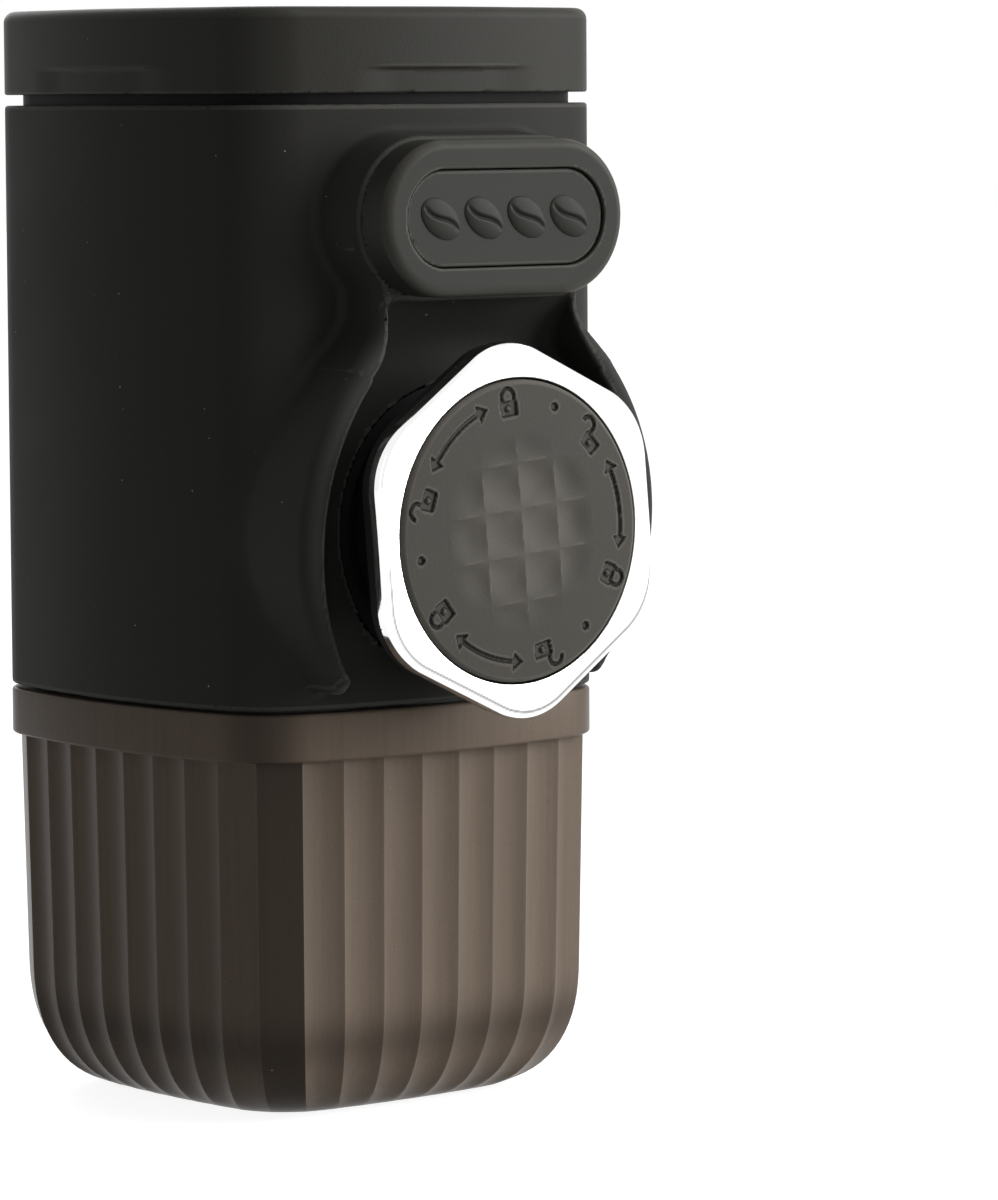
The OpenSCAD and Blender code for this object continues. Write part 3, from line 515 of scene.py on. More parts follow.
class MeshTool:
    """A geometry node tree with named inputs, run once on a piece."""

    def __init__(self, name: str, inputs: dict[str, tuple[str, object]]) -> None:
        """Starts the tree.

        Args:
            name: Name of the tree.
            inputs: Kind and value of each input, by name, with one named Material.
        """
        tree = bpy.data.node_groups.new(name, "GeometryNodeTree")
        face = tree.interface
        face.new_socket(name="Geometry", in_out="INPUT", socket_type="NodeSocketGeometry")
        self.values = {}
        for label, (kind, value) in inputs.items():
            socket = face.new_socket(name=label, in_out="INPUT", socket_type="NodeSocket" + kind)
            self.values[socket.identifier] = value
        face.new_socket(name="Geometry", in_out="OUTPUT", socket_type="NodeSocketGeometry")
        self.graph = Graph(tree)
        self.given = self.graph.node("NodeGroupInput").outputs

    def run(self, shape: Socket, piece: Piece) -> Piece:
        """Ends the tree in plain, dressed geometry, and turns a piece into what the tree makes.

        Args:
            shape: The tree's geometry.
            piece: The piece to run on.

        Returns:
            The same piece, with the result as its mesh and no modifiers.
        """
        graph = self.graph
        real = graph.node("GeometryNodeRealizeInstances", {"Geometry": shape}).outputs[0]
        inputs = {"Geometry": real, "Material": self.given["Material"]}
        graph.node("NodeGroupOutput", {0: graph.node("GeometryNodeSetMaterial", inputs).outputs[0]})
        modifier = piece.modifiers.new(graph.tree.name, "NODES")
        modifier.node_group = graph.tree
        for identifier, value in self.values.items():
            modifier[identifier] = value
        done = piece.evaluated_get(bpy.context.evaluated_depsgraph_get())
        plain = bpy.data.meshes.new_from_object(done)
        piece.modifiers.clear()
        piece.data = plain
        return piece


class Effects:
    """Surface effects that several finishes share, each built once as a node group."""

    brush_draw: Place = (0.04, 1.0, 1.0)

    def __init__(self) -> None:
        """Builds the groups."""
        self.grain = self._grain()
        self.dust = self._dust()
        self.brush = self._brush()
        self.edges = self._edges()

    @staticmethod
    def _edges() -> bpy.types.NodeTree:
        """Raised edges, for wear and a painted highlight, and hollows, for dirt and painted shade, from the
        bends that a piece keeps.
        """
        graph, given, out = new_group("wear_highlight_and_dirt_shade", {
            "Raised from": 0.35, "Raised full": 1.1, "Sunk from": 0.6, "Sunk full": 3.0,
            "Patches per metre": 350.0, "Patch strength": 0.6, "Least share": 0.5}, ("Raised", "Sunk"))
        bend = graph.kept("bend")
        uneven = graph.noise(graph.place(), given["Patches per metre"], 3.0)
        share = graph.math("MULTIPLY_ADD", uneven, given["Patch strength"], given["Least share"])
        raised = graph.ramp(bend, given["Raised from"], given["Raised full"], "SMOOTHSTEP")
        hollow = graph.math("MULTIPLY", bend, -1.0)
        sunk = graph.ramp(hollow, given["Sunk from"], given["Sunk full"], "SMOOTHSTEP")
        graph.feed(out, {"Raised": graph.product(raised, share), "Sunk": sunk})
        return graph.tree

    @staticmethod
    def _grain() -> bpy.types.NodeTree:
        """Fine moulded grain over soft, broad unevenness."""
        graph, given, out = new_group("moulded_grain", {"Grain per metre": 2500.0, "Spread per metre": 60.0},
                                      ("Height", "Patches"))
        place = graph.place()
        graph.feed(out, {"Height": graph.noise(place, given["Grain per metre"], 2.0),
                         "Patches": graph.noise(place, given["Spread per metre"], 4.0, 0.6)})
        return graph.tree

    @staticmethod
    def _dust() -> bpy.types.NodeTree:
        """Sparse pale specks with ragged outlines."""
        graph, given, out = new_group("dust_specks", {
            "Cells per metre": 450.0, "Share": 0.12, "Size": 0.055, "Rags per metre": 900.0,
            "Rag length": 0.0006}, ("Mask",))
        place = graph.place()
        rags = graph.node("ShaderNodeTexNoise", {"Vector": place, "Scale": given["Rags per metre"]})
        shift = graph.vector("SCALE", {0: rags.outputs["Color"], "Scale": given["Rag length"]})
        moved = graph.vector("ADD", {0: place, 1: shift})
        cells = graph.node("ShaderNodeTexVoronoi", {"Vector": moved, "Scale": given["Cells per metre"]})
        chance = graph.node("ShaderNodeSeparateColor", {"Color": cells.outputs["Color"]}).outputs
        chosen = graph.math("LESS_THAN", chance[0], given["Share"])
        size = graph.math("MULTIPLY", given["Size"], chance[1])
        near = graph.math("LESS_THAN", cells.outputs["Distance"], size)
        graph.feed(out, {"Mask": graph.product(chosen, near)})
        return graph.tree

    def _brush(self) -> bpy.types.NodeTree:
        """Long fine scratches along X."""
        graph, given, out = new_group("brushed_lines", {"Lines per metre": 4000.0}, ("Lines",))
        drawn = graph.vector("MULTIPLY", {0: graph.place(), 1: self.brush_draw})
        graph.feed(out, {"Lines": graph.noise(drawn, given["Lines per metre"], 3.0)})
        return graph.tree


def start_material(name: str) -> tuple[bpy.types.Material, Graph, bpy.types.Node]:
    """Starts a node material with one Principled shader.

    Args:
        name: Name of the material.

    Returns:
        The material, its graph and its Principled node.
    """
    made = bpy.data.materials.new(name)
    made.use_nodes = True
    graph = Graph(made.node_tree)
    return made, graph, graph.tree.nodes["Principled BSDF"]


def paint(colour: Colour, share: float = 1.0) -> tuple[float, ...]:
    """A colour times a share, with full alpha."""
    return tuple(v * share for v in colour) + (1.0,)


@dataclass(frozen=True)
class Moulded:
    """Moulded plastic, silicone or rubber with a fine grain, uneven gloss and a little dust."""

    name: str
    colour: Colour
    rough: float = 0.45
    rough_spread: float = 0.08
    shade_spread: float = 0.12
    grain_per_mm: float = 2.5
    grain_depth: float = 0.02
    dust: float = 0.0
    specular: float = 0.5
    # Raised edges lightened for wear and a painted highlight; hollows darkened for dirt and painted shade
    wear_and_highlight: float = 0.0
    dirt_and_shade: float = 0.0

    def material(self, effects: Effects) -> bpy.types.Material:
        """Builds the material from the shared effects."""
        made, graph, shader = start_material(self.name)
        grain = graph.group(effects.grain, {"Grain per metre": self.grain_per_mm / MM})
        patches = graph.math("SUBTRACT", grain["Patches"], 0.5)
        dark, light = paint(self.colour, 1 - self.shade_spread), paint(self.colour, 1 + self.shade_spread)
        colour = graph.mix(grain["Patches"], dark, light)
        if self.dust > 0:
            specks = graph.group(effects.dust, {"Share": self.dust})["Mask"]
            colour = graph.mix(specks, colour, paint(DUST))
        # Raised edges painted lighter, for wear and a painted highlight; hollows painted darker, for dirt and
        # painted shade
        if self.wear_and_highlight > 0 or self.dirt_and_shade > 0:
            edges = graph.group(effects.edges)
            colour = graph.mix(edges["Raised"], colour, paint(self.colour, 1 + self.wear_and_highlight))
            colour = graph.mix(graph.product(edges["Sunk"], self.dirt_and_shade), colour, paint(DIRT_AND_SHADE))
        graph.feed(shader, {
            "Base Color": colour,
            "Roughness": graph.math("MULTIPLY_ADD", patches, 2 * self.rough_spread, self.rough),
            "Normal": graph.bump(grain["Height"], self.grain_depth),
            "Specular IOR Level": self.specular})
        return made


@dataclass(frozen=True)
class Metal:
    """Metal, polished or brushed, with a thin painted dark reflection where a piece marks one."""

    name: str
    colour: Colour
    rough: float = 0.2
    streaks: float = 0.1
    lines_per_mm: float = 4.0
    line_depth: float = 0.003
    painted_reflection_line: float = 0.0

    def material(self, effects: Effects) -> bpy.types.Material:
        """Builds the material from the shared effects."""
        made, graph, shader = start_material(self.name)
        lines = graph.group(effects.brush, {"Lines per metre": self.lines_per_mm / MM})["Lines"]
        colour = graph.mix(lines, paint(self.colour, 1 - self.streaks), paint(self.colour))
        # Painted dark reflection along the edge that a piece marks
        if self.painted_reflection_line > 0:
            mask = graph.product(graph.kept("painted_reflection_line"), self.painted_reflection_line)
            colour = graph.mix(mask, colour, paint(DARK_REFLECTION))
        spread = graph.math("SUBTRACT", lines, 0.5)
        graph.feed(shader, {
            "Base Color": colour,
            "Roughness": graph.math("MULTIPLY_ADD", spread, self.streaks, self.rough),
            "Normal": graph.bump(lines, self.line_depth),
            "Metallic": 1.0})
        return made


@dataclass(frozen=True)
class Smoky:
    """Smoky frosted plastic, with painted shade at the cup's corners and at the height of its inner floor,
    drawn by shades of one colour.
    """

    name: str
    colour: Colour
    rough: float = 0.35
    specular: float = 0.5
    grain_per_mm: float = 3.0
    grain_depth: float = 0.02
    mottle_dark: float = 0.87
    mottle_from: float = 0.35
    mottle_to: float = 0.6
    streak_share: float = 0.65
    streak_draw: Place = (1.0, 1.0, 0.03)
    streaks_per_mm: float = 0.9
    # Painted highlight along the cup's arrises
    edge_shine: float = 0.35
    shine_colour_share: float = 1.5
    # Colour share of the painted shade at the corners and at the inner floor
    shade_share: float = 0.12
    # Band of painted shade at the height of the cup's inner floor
    floor_z: float = 10.0
    floor_band: float = 3.2
    floor_shade: float = 0.45
    dust: float = 0.2

    def material(self, effects: Effects) -> bpy.types.Material:
        """Builds the material from the shared effects."""
        made, graph, shader = start_material(self.name)
        grain = graph.group(effects.grain, {"Grain per metre": self.grain_per_mm / MM})
        place = graph.place()
        drawn = graph.vector("MULTIPLY", {0: place, 1: self.streak_draw})
        streaks = graph.noise(drawn, self.streaks_per_mm / MM, 4.0, 0.7)
        mottle = graph.math("MULTIPLY_ADD", grain["Height"], 1 - self.streak_share,
                            graph.product(streaks, self.streak_share))
        even = graph.ramp(mottle, self.mottle_from, self.mottle_to)
        colour = graph.mix(even, paint(self.colour, self.mottle_dark), paint(self.colour))
        # Painted highlight along the arrises that the cup marks as raised edges
        shine = graph.product(graph.group(effects.edges)["Raised"], self.edge_shine)
        colour = graph.mix(shine, colour, paint(self.colour, self.shine_colour_share))
        # Painted shade at the cup's corners, as a share of the colour that the cup keeps
        deep = paint(self.colour, self.shade_share)
        colour = graph.mix(graph.kept("shade_and_tone"), deep, colour)
        # Painted shade in a band at the height of the cup's inner floor
        height = graph.node("ShaderNodeSeparateXYZ", {0: place}).outputs[2]
        over_floor = graph.math("SUBTRACT", height, self.floor_z * MM)
        band = graph.bell(graph.math("DIVIDE", over_floor, self.floor_band * MM))
        colour = graph.mix(graph.product(band, self.floor_shade), colour, deep)
        specks = graph.group(effects.dust, {"Share": self.dust})["Mask"]
        graph.feed(shader, {
            "Base Color": graph.mix(specks, colour, paint(DUST)),
            "Normal": graph.bump(grain["Height"], self.grain_depth),
            "Roughness": self.rough,
            "Specular IOR Level": self.specular})
        return made


class Look(Enum):
    """The finishes, by the record's material slots."""

    # Where set, raised edges are lightened for wear and a painted highlight, and hollows darkened for dirt
    # and painted shade
    SOFT_BLACK = Moulded("soft_black", (0.0265, 0.026, 0.0235), rough=0.55, dust=0.45, specular=0.06,
                         wear_and_highlight=1.3)
    LID_BLACK = Moulded("lid_black", (0.028, 0.0272, 0.0236), dust=0.3, specular=0.08, wear_and_highlight=0.8)
    BADGE_BLACK = Moulded("badge_black", (0.027, 0.0265, 0.023), rough=0.4, dust=0.2, specular=0.09,
                          wear_and_highlight=1.6, dirt_and_shade=0.8)
    SMOKY_CUP = Smoky("smoky_cup", (0.168, 0.131, 0.102), rough=0.3, specular=0.05)
    CHROME_RING = Metal("chrome_ring", (0.92, 0.92, 0.92), rough=0.06, streaks=0.02, line_depth=0.0,
                        painted_reflection_line=0.8)
    KNOB_RUBBER = Moulded("knob_rubber", (0.066, 0.0615, 0.0535), rough=0.6, grain_depth=0.03,
                          specular=0.1, wear_and_highlight=0.6, dirt_and_shade=0.85)
    KNOB_BLACK = Moulded("knob_black", (0.012, 0.012, 0.012), rough=0.5, specular=0.1)
    TANK_BLACK = Moulded("tank_black", (0.012, 0.012, 0.0115), rough=0.5, specular=0.05)
    SEAL_RUBBER = Moulded("seal_rubber", (0.02, 0.02, 0.02), rough=0.55)
    SILICONE_CLEAR = Moulded("silicone_clear", (0.55, 0.54, 0.5), rough=0.4)
    SILICONE_RED = Moulded("silicone_red", (0.35, 0.06, 0.03))
    STEEL = Metal("steel", (0.62, 0.62, 0.62), rough=0.28, streaks=0.2)
    # Steel painted dark, for a steel part that sits in shade
    PAINTED_SHADE_STEEL = Metal("painted_shade_steel", (0.03, 0.03, 0.032), rough=0.5, streaks=0.2)
    PUMP_WHITE = Moulded("pump_white", (0.62, 0.62, 0.6), rough=0.35)
    BUSH_WHITE = Moulded("bush_white", (0.8, 0.79, 0.74), rough=0.35)
    FRAME_BLACK = Moulded("frame_black", (0.03, 0.03, 0.03))
    HOLDER_BLACK = Moulded("holder_black", (0.022, 0.022, 0.022), rough=0.4, specular=0.2)


# Steel painted dark for the shade that it sits in, by node
STEEL_IN_PAINTED_SHADE = {"lock_ring": Look.PAINTED_SHADE_STEEL}


class Wardrobe:
    """Builds each finish once and puts it on pieces."""

    def __init__(self) -> None:
        """Builds the shared effects."""
        self.effects = Effects()
        self.made: dict[Look, bpy.types.Material] = {}
        self.replaced: set[str] = set()

    def material(self, look: Look) -> bpy.types.Material:
        """Gives the material of a finish."""
        if look not in self.made:
            self.made[look] = look.value.material(self.effects)
        return self.made[look]

    def cover(self, piece: Piece, look: Look) -> None:
        """Puts a finish on the whole of a piece."""
        piece.data.materials.clear()
        piece.data.materials.append(self.material(look))

    def dress(self, piece: Piece, look: Look, body: str, *nodes: str) -> None:
        """Gives a new piece its finish, its body and the frame nodes that it stands for.

        Args:
            piece: The finished piece.
            look: Its finish.
            body: The frame's body that it rides on.
            nodes: The frame's nodes that it stands for.
        """
        self.cover(piece, look)
        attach(piece, body)
        if nodes:
            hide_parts(*nodes)
            self.replaced.update(nodes)
        log.info("%s: %d faces, on %s", piece.name, len(piece.data.polygons), body)

    def dress_frame(self) -> None:
        """Gives every frame node that stays its finish, by the record's slots."""
        by_name = {look.value.name: look for look in Look}
        for part in frame["record"]["subparts"]:
            node = part["node"]
            if node not in self.replaced:
                look = STEEL_IN_PAINTED_SHADE.get(node, by_name[part["material_slot"]])
                self.cover(frame["nodes"][node], look)
                log.info("%s: frame node in %s", node, look.value.name)


@dataclass
class Casing:
    """Tall body with the boss that carries the badge and the two guard ridges."""

    box: Box
    badge: Box
    axis_z: float
    corner: float = 11.0
    wall: float = 2.0
    edge: float = 0.45
    # Guard outline: two large arcs and a neck under the badge
    lens_r: float = 30.85
    lens_off: float = 4.5
    lens_drop: float = 0.6
    neck_r: float = 14.0
    neck_x: float = 29.2
    neck_z: float = 106.42
    neck_from: float = 14.0
    neck_side: float = 19.0
    neck_share: float = 0.55
    neck_over: float = 4.5
    neck_melt: float = 0.6
    # Slab behind the knob
    slab_grow: float = 0.6
    slab_edge: float = 3.0
    slab_melt: float = 1.2
    floor_y: float = -32.8
    floor_low: float = 62.8
    floor_lean: float = math.radians(28)
    cove_h: float = 8.9
    cove_gap: float = 0.2
    cove_short: float = 0.4
    root: float = 0.7
    # Guard ridges
    ridge_t: float = 3.0
    ridge_end_t: float = 2.1
    ridge_taper: float = 18.0
    ridge_soft: float = 2.0
    ridge_edge: float = 0.4
    ridge_root: float = 1.2
    ridge_end: float = 56.5
    crest_over: float = 1.0
    crest_back: float = 0.2
    crest_fall_from: float = 9.0
    crest_fall_to: float = 0.5
    crest_from: float = 18.0
    crest_r: float = 230.0
    tip_r: float = 1.15
    tip_melt: float = 1.0
    tip_hollow: float = 0.8
    # Pedestal of the badge, and the knob's well
    draft: float = 0.07
    pedestal_y: float = -38.9
    pedestal_rim: float = 0.45
    pedestal_edge: float = 0.4
    pedestal_root: float = 1.0
    slot_room: float = 0.3
    well_r: float = 18.85
    # Grid: fine at the sides and in front, coarse in the middle and behind
    fine_step: float = 0.5
    quick_step: float = 1.0
    room: float = 0.5
    front_room: float = 2.0
    rear_room: float = 1.0
    fine_from: float = 15.5
    middle_step: float = 1.25
    rear_from: float = -22.0
    rear_step: float = 1.5

    def outline(self, x: Array, z: Array, grow: float | Array) -> Array:
        """Signed distance to the guard outline in front view.

        Args:
            x: Places across.
            z: Heights.
            grow: How far the outline is moved out.

        Returns:
            Signed distance, below 0 between the ridges.
        """
        ax = np.abs(x)
        lens = np.hypot(ax + self.lens_off, z - self.axis_z + self.lens_drop) - self.lens_r - grow
        narrow = self.neck_share * grow
        neck = np.maximum(self.neck_r - narrow - np.hypot(ax - self.neck_x, z - self.neck_z),
                          ax - self.neck_side - narrow)
        ends = np.maximum(self.axis_z + self.neck_from - z, z - self.badge.middle[2] + self.neck_over)
        return melt(lens, np.maximum(neck, ends), self.neck_melt * grow + 0.01)

    def floor(self, z: Array) -> Array:
        """Y of the recess behind the knob: flat, with a cove up to the badge."""
        cove_from = self.badge.z0 - self.cove_h
        t = clamp01((z - cove_from) / (self.badge.z0 - self.cove_gap - cove_from))
        return self.floor_y - (self.floor_y - self.pedestal_y - self.cove_short) * t * t

    def crest(self, z: Array) -> Array:
        """Y of the ridges' crest, which falls back at the badge and on a large arc towards the tips."""
        back = self.pedestal_y - self.box.y0 + self.crest_over + self.crest_back
        low_z = self.badge.z0
        top = smooth_step(z, low_z - self.crest_fall_from, low_z - self.crest_fall_to) * back
        low = np.maximum(self.axis_z + self.crest_from - z, 0.0)
        return self.box.y0 - self.crest_over + top + low * low / (2 * self.crest_r)

    def ridges(self, x: Array, y: Array, z: Array) -> Array:
        """Signed distance to the two guard ridges with their round tips."""
        tip_z = self.ridge_end + self.tip_r
        widen = smooth_step(z, tip_z, tip_z + self.ridge_taper)
        grown = self.outline(x, z, self.ridge_end_t + (self.ridge_t - self.ridge_end_t) * widen)
        reach = self.lens_r + self.ridge_end_t / 2
        tip_x = -self.lens_off + math.sqrt(reach ** 2 - (self.axis_z - self.lens_drop - tip_z) ** 2)
        tip = np.hypot(np.abs(x) - tip_x, z - tip_z) - self.tip_r
        outer = melt(np.maximum(grown, tip_z - z), tip, self.tip_melt)
        inner = cut_round(self.outline(x, z, 0.0), -tip, self.tip_hollow)
        rolled = cut_round(outer, self.crest(z) - y, self.ridge_soft)
        return cut_round(rolled, -inner, self.ridge_edge)

    def shape(self, x: Array, y: Array, z: Array) -> Array:
        """Signed distance to the casing."""
        box, badge = self.box, self.badge
        ends = np.maximum(box.z0 - z, z - box.z1)
        body = cut_round(SECTION.distance(x, y, box.x1, self.corner), ends, self.edge)
        rear = y + box.x1 * self.root
        slab = np.maximum(self.outline(x, z, self.slab_grow), self.floor(z) - y)
        cos, sin = math.cos(self.floor_lean), math.sin(self.floor_lean)
        low = (self.floor_y - y) * cos + (self.floor_low - z) * sin
        slab = cut_round(slab, low, self.slab_edge)
        solid = melt(body, np.maximum(slab, rear), self.slab_melt)
        solid = join_round(solid, np.maximum(self.ridges(x, y, z), rear), self.ridge_root)
        slot = slot_shape(x, z - badge.middle[2], badge.x1 * 2, badge.z1 - badge.z0)
        spread = self.pedestal_rim + self.draft * (y - self.pedestal_y)
        pedestal = cut_round(slot - spread, self.pedestal_y - y, self.pedestal_edge)
        solid = join_round(solid, np.maximum(pedestal, rear), self.pedestal_root)
        solid = np.maximum(solid, -np.maximum(slot + self.slot_room, y - self.pedestal_y))
        well = np.maximum(np.hypot(x, z - self.axis_z) - self.well_r, y)
        solid = np.maximum(solid, -well)
        return np.maximum(solid, -SECTION.distance(x, y, box.x1 - self.wall, self.corner))

    def build(self, wardrobe: Wardrobe) -> None:
        """Builds the casing's skin and dresses it."""
        fine = grid_step(self.fine_step)
        box = self.box
        side = steps(self.fine_from, box.x1 + self.room, fine)
        middle = steps(-self.fine_from, self.fine_from, self.middle_step)[1:-1]
        xs = np.concatenate([-side[::-1], middle, side])
        front = steps(box.y0 - self.front_room, self.rear_from, fine)[:-1]
        ys = np.concatenate([front, steps(self.rear_from, box.y1 + self.rear_room, self.rear_step)])
        piece = skin("casing_shell", self.shape, xs, ys, box.grid("z", fine, self.room))
        wardrobe.dress(piece, Look.SOFT_BLACK, "housing", "casing")


@dataclass
class Badge:
    """Oval plate with a recessed panel that carries a row of raised beans."""

    plate: Box
    panel: Box
    edge: float = 1.3
    recess: float = 1.0
    window_room: float = 0.3
    window_edge: float = 0.15
    panel_edge: float = 0.25
    panel_sunk: float = 0.45
    step: float = 0.3
    quick_step: float = 0.5
    panel_step: float = 0.4
    panel_deep_step: float = 0.3
    bean_w: float = 7.0
    bean_h: float = 4.7
    bean_up: float = 0.6
    bean_pitch: float = 7.1
    bean_count: int = 4
    bean_turn: float = math.radians(32)
    bean_detail: int = 6
    bean_quick_detail: int = 4
    # Crease of a bean, in shares of the bean's size
    crease_waves: float = 1.9
    crease_swing: float = 0.09
    crease_w: float = 0.055
    crease_d: float = 0.75
    crease_ends: float = 2.1
    crease_power: float = 8.0

    def shape(self, x: Array, y: Array, z: Array) -> Array:
        """Signed distance to the plate."""
        plate, panel, room = self.plate, self.panel, self.window_room
        mid_z = plate.middle[2]
        slot = slot_shape(x, z - mid_z, 2 * plate.x1, plate.z1 - plate.z0)
        solid = np.maximum(cut_round(slot, plate.y0 - y, self.edge), y - plate.y1)
        window = slot_shape(x, z - mid_z, 2 * panel.x1 + room, panel.z1 - panel.z0 + room)
        return cut_round(solid, -np.maximum(window, y - plate.y0 - self.recess), self.window_edge)

    def panel_shape(self, x: Array, y: Array, z: Array) -> Array:
        """Signed distance to the panel."""
        panel = self.panel
        front = self.plate.y0 + self.panel_sunk
        slot = slot_shape(x, z - panel.middle[2], 2 * panel.x1, panel.z1 - panel.z0)
        return np.maximum(cut_round(slot, front - y, self.panel_edge), y - panel.y1)

    def build(self, wardrobe: Wardrobe) -> None:
        """Builds the plate, the panel and the beans."""
        plate, panel, look = self.plate, self.panel, Look.BADGE_BLACK
        xs, ys, zs = (plate.grid(axis, grid_step(self.step)) for axis in "xyz")
        wardrobe.dress(skin("badge_plate", self.shape, xs, ys, zs), look, "housing", "oval_cap")
        xs, zs = (panel.grid(axis, self.panel_step) for axis in "xz")
        ys = steps(plate.y0, panel.y1 + self.panel_step, self.panel_deep_step)
        piece = skin("badge_panel", self.panel_shape, xs, ys, zs)
        wardrobe.dress(piece, look, "housing", "oval_inlay")
        wardrobe.dress(self.bean_row(wardrobe.material(look)), look, "housing")

    def bean_row(self, material: bpy.types.Material) -> Piece:
        """Sets a row of domed beans, each with a curved crease, on the panel by a node tree.

        Args:
            material: The material that the tree sets.

        Returns:
            The row, as one plain mesh.
        """
        tool = MeshTool("bean_row", {
            "Count": ("Int", self.bean_count), "Pitch": ("Float", self.bean_pitch * MM),
            "Width": ("Float", self.bean_w * MM), "Height": ("Float", self.bean_h * MM),
            "Rise": ("Float", self.bean_up * MM), "Turn": ("Float", self.bean_turn),
            "Detail": ("Int", int(grid_step(self.bean_detail))),
            "Material": ("Material", material)})
        graph, given = tool.graph, tool.given
        ball = graph.node("GeometryNodeMeshIcoSphere", {"Radius": 0.5, "Subdivisions": given["Detail"]})
        place = graph.node("GeometryNodeInputPosition").outputs[0]
        across, deep, up = graph.node("ShaderNodeSeparateXYZ", {0: place}).outputs
        wave = graph.math("SINE", graph.product(across, math.pi * self.crease_waves))
        off = graph.math("SUBTRACT", up, graph.product(wave, self.crease_swing))
        crease = graph.bell(graph.math("DIVIDE", off, self.crease_w))
        along = graph.math("ABSOLUTE", graph.product(across, self.crease_ends))
        beyond = graph.math("POWER", along, self.crease_power)
        reach = graph.math("MAXIMUM", graph.math("SUBTRACT", 1.0, beyond), 0.0)
        sunk = graph.product(crease, reach, graph.math("LESS_THAN", deep, 0.0), self.crease_d)
        lowered = graph.product(deep, graph.math("SUBTRACT", 1.0, sunk))
        shaped = graph.combine(graph.product(across, given["Width"]),
                               graph.product(lowered, graph.product(given["Rise"], 2.0)),
                               graph.product(up, given["Height"]))
        bean = graph.node("GeometryNodeSetPosition", {"Geometry": ball.outputs[0], "Position": shaped})
        smooth = graph.node("GeometryNodeSetShadeSmooth", {"Geometry": bean.outputs[0]})
        half_row = graph.product(graph.math("SUBTRACT", given["Count"], 1.0),
                                 graph.product(given["Pitch"], -0.5))
        front = (self.plate.y0 + self.panel_sunk) * MM
        row = graph.node("GeometryNodeMeshLine", {
            "Count": given["Count"], "Offset": graph.combine(given["Pitch"], 0.0, 0.0),
            "Start Location": graph.combine(half_row, front, self.plate.middle[2] * MM)})
        placed = graph.node("GeometryNodeInstanceOnPoints", {
            "Points": row.outputs[0], "Instance": smooth.outputs[0],
            "Rotation": graph.combine(0.0, given["Turn"], 0.0)})
        return tool.run(placed.outputs[0], new_piece("badge_beans", np.zeros((0, 3)), []))


@dataclass
class Lid:
    """Low cap with a rounded upper edge, finger grips and a plug that reaches into the tank."""

    box: Box
    corner: float = 11.0
    edge: float = 1.5
    low_edge: float = 0.3
    crown: float = 0.25
    side_wall: float = 1.8
    top_wall: float = 2.2
    plug_half: float = 27.85
    plug_wall: float = 1.8
    plug_h: float = 8.4
    plug_sunk: float = 0.5
    grip_w: float = 25.0
    grip_h: float = 3.2
    grip_d: float = 0.42
    grip_in: float = 4.5
    grip_out: float = 2.5
    grip_soft: float = 0.35
    vent_r: float = 0.8
    step: float = 0.6
    quick_step: float = 1.2
    high_step: float = 0.35
    side_room: float = 0.6

    def dent(self, x: Array, y: Array, z: Array) -> Array:
        """Depth of the finger grips at a place on the sides."""
        across = np.minimum(np.abs(x), np.abs(y))
        half, top = self.grip_w / 2, self.box.z0 + self.grip_h
        wide = smooth_step(-across, -half - self.grip_out, -half + self.grip_in)
        high = smooth_step(-z, -top - self.grip_soft, -top + self.grip_soft)
        return self.grip_d * wide * high

    def shape(self, x: Array, y: Array, z: Array) -> Array:
        """Signed distance to the lid."""
        box, corner = self.box, self.corner
        side = SECTION.distance(x, y, box.x1, corner) + self.dent(x, y, z)
        crown = self.crown * clamp01(np.hypot(x, y) / box.x1) ** 2
        outside = cut_round(side, z - box.z1 + crown, self.edge)
        outside = cut_round(outside, box.z0 - z, self.low_edge)
        under = z - box.z1 + self.top_wall
        hollow = np.maximum(SECTION.distance(x, y, box.x1 - self.side_wall, corner - 1), under)
        plug = np.maximum(SECTION.distance(x, y, self.plug_half, corner), -under - self.plug_h)
        plug = np.maximum(plug, under - self.plug_sunk)
        plug = np.maximum(plug, -SECTION.distance(x, y, self.plug_half - self.plug_wall, corner))
        solid = np.minimum(np.maximum(outside, -hollow), plug)
        return np.maximum(solid, self.vent_r - np.hypot(x, y))

    def build(self, wardrobe: Wardrobe) -> None:
        """Builds the lid and dresses it."""
        xs = self.box.grid("x", grid_step(self.step), self.side_room)
        piece = skin("lid_cap", self.shape, xs, xs, self.box.grid("z", self.high_step))
        wardrobe.dress(piece, Look.LID_BLACK, "lid_body", "lid")


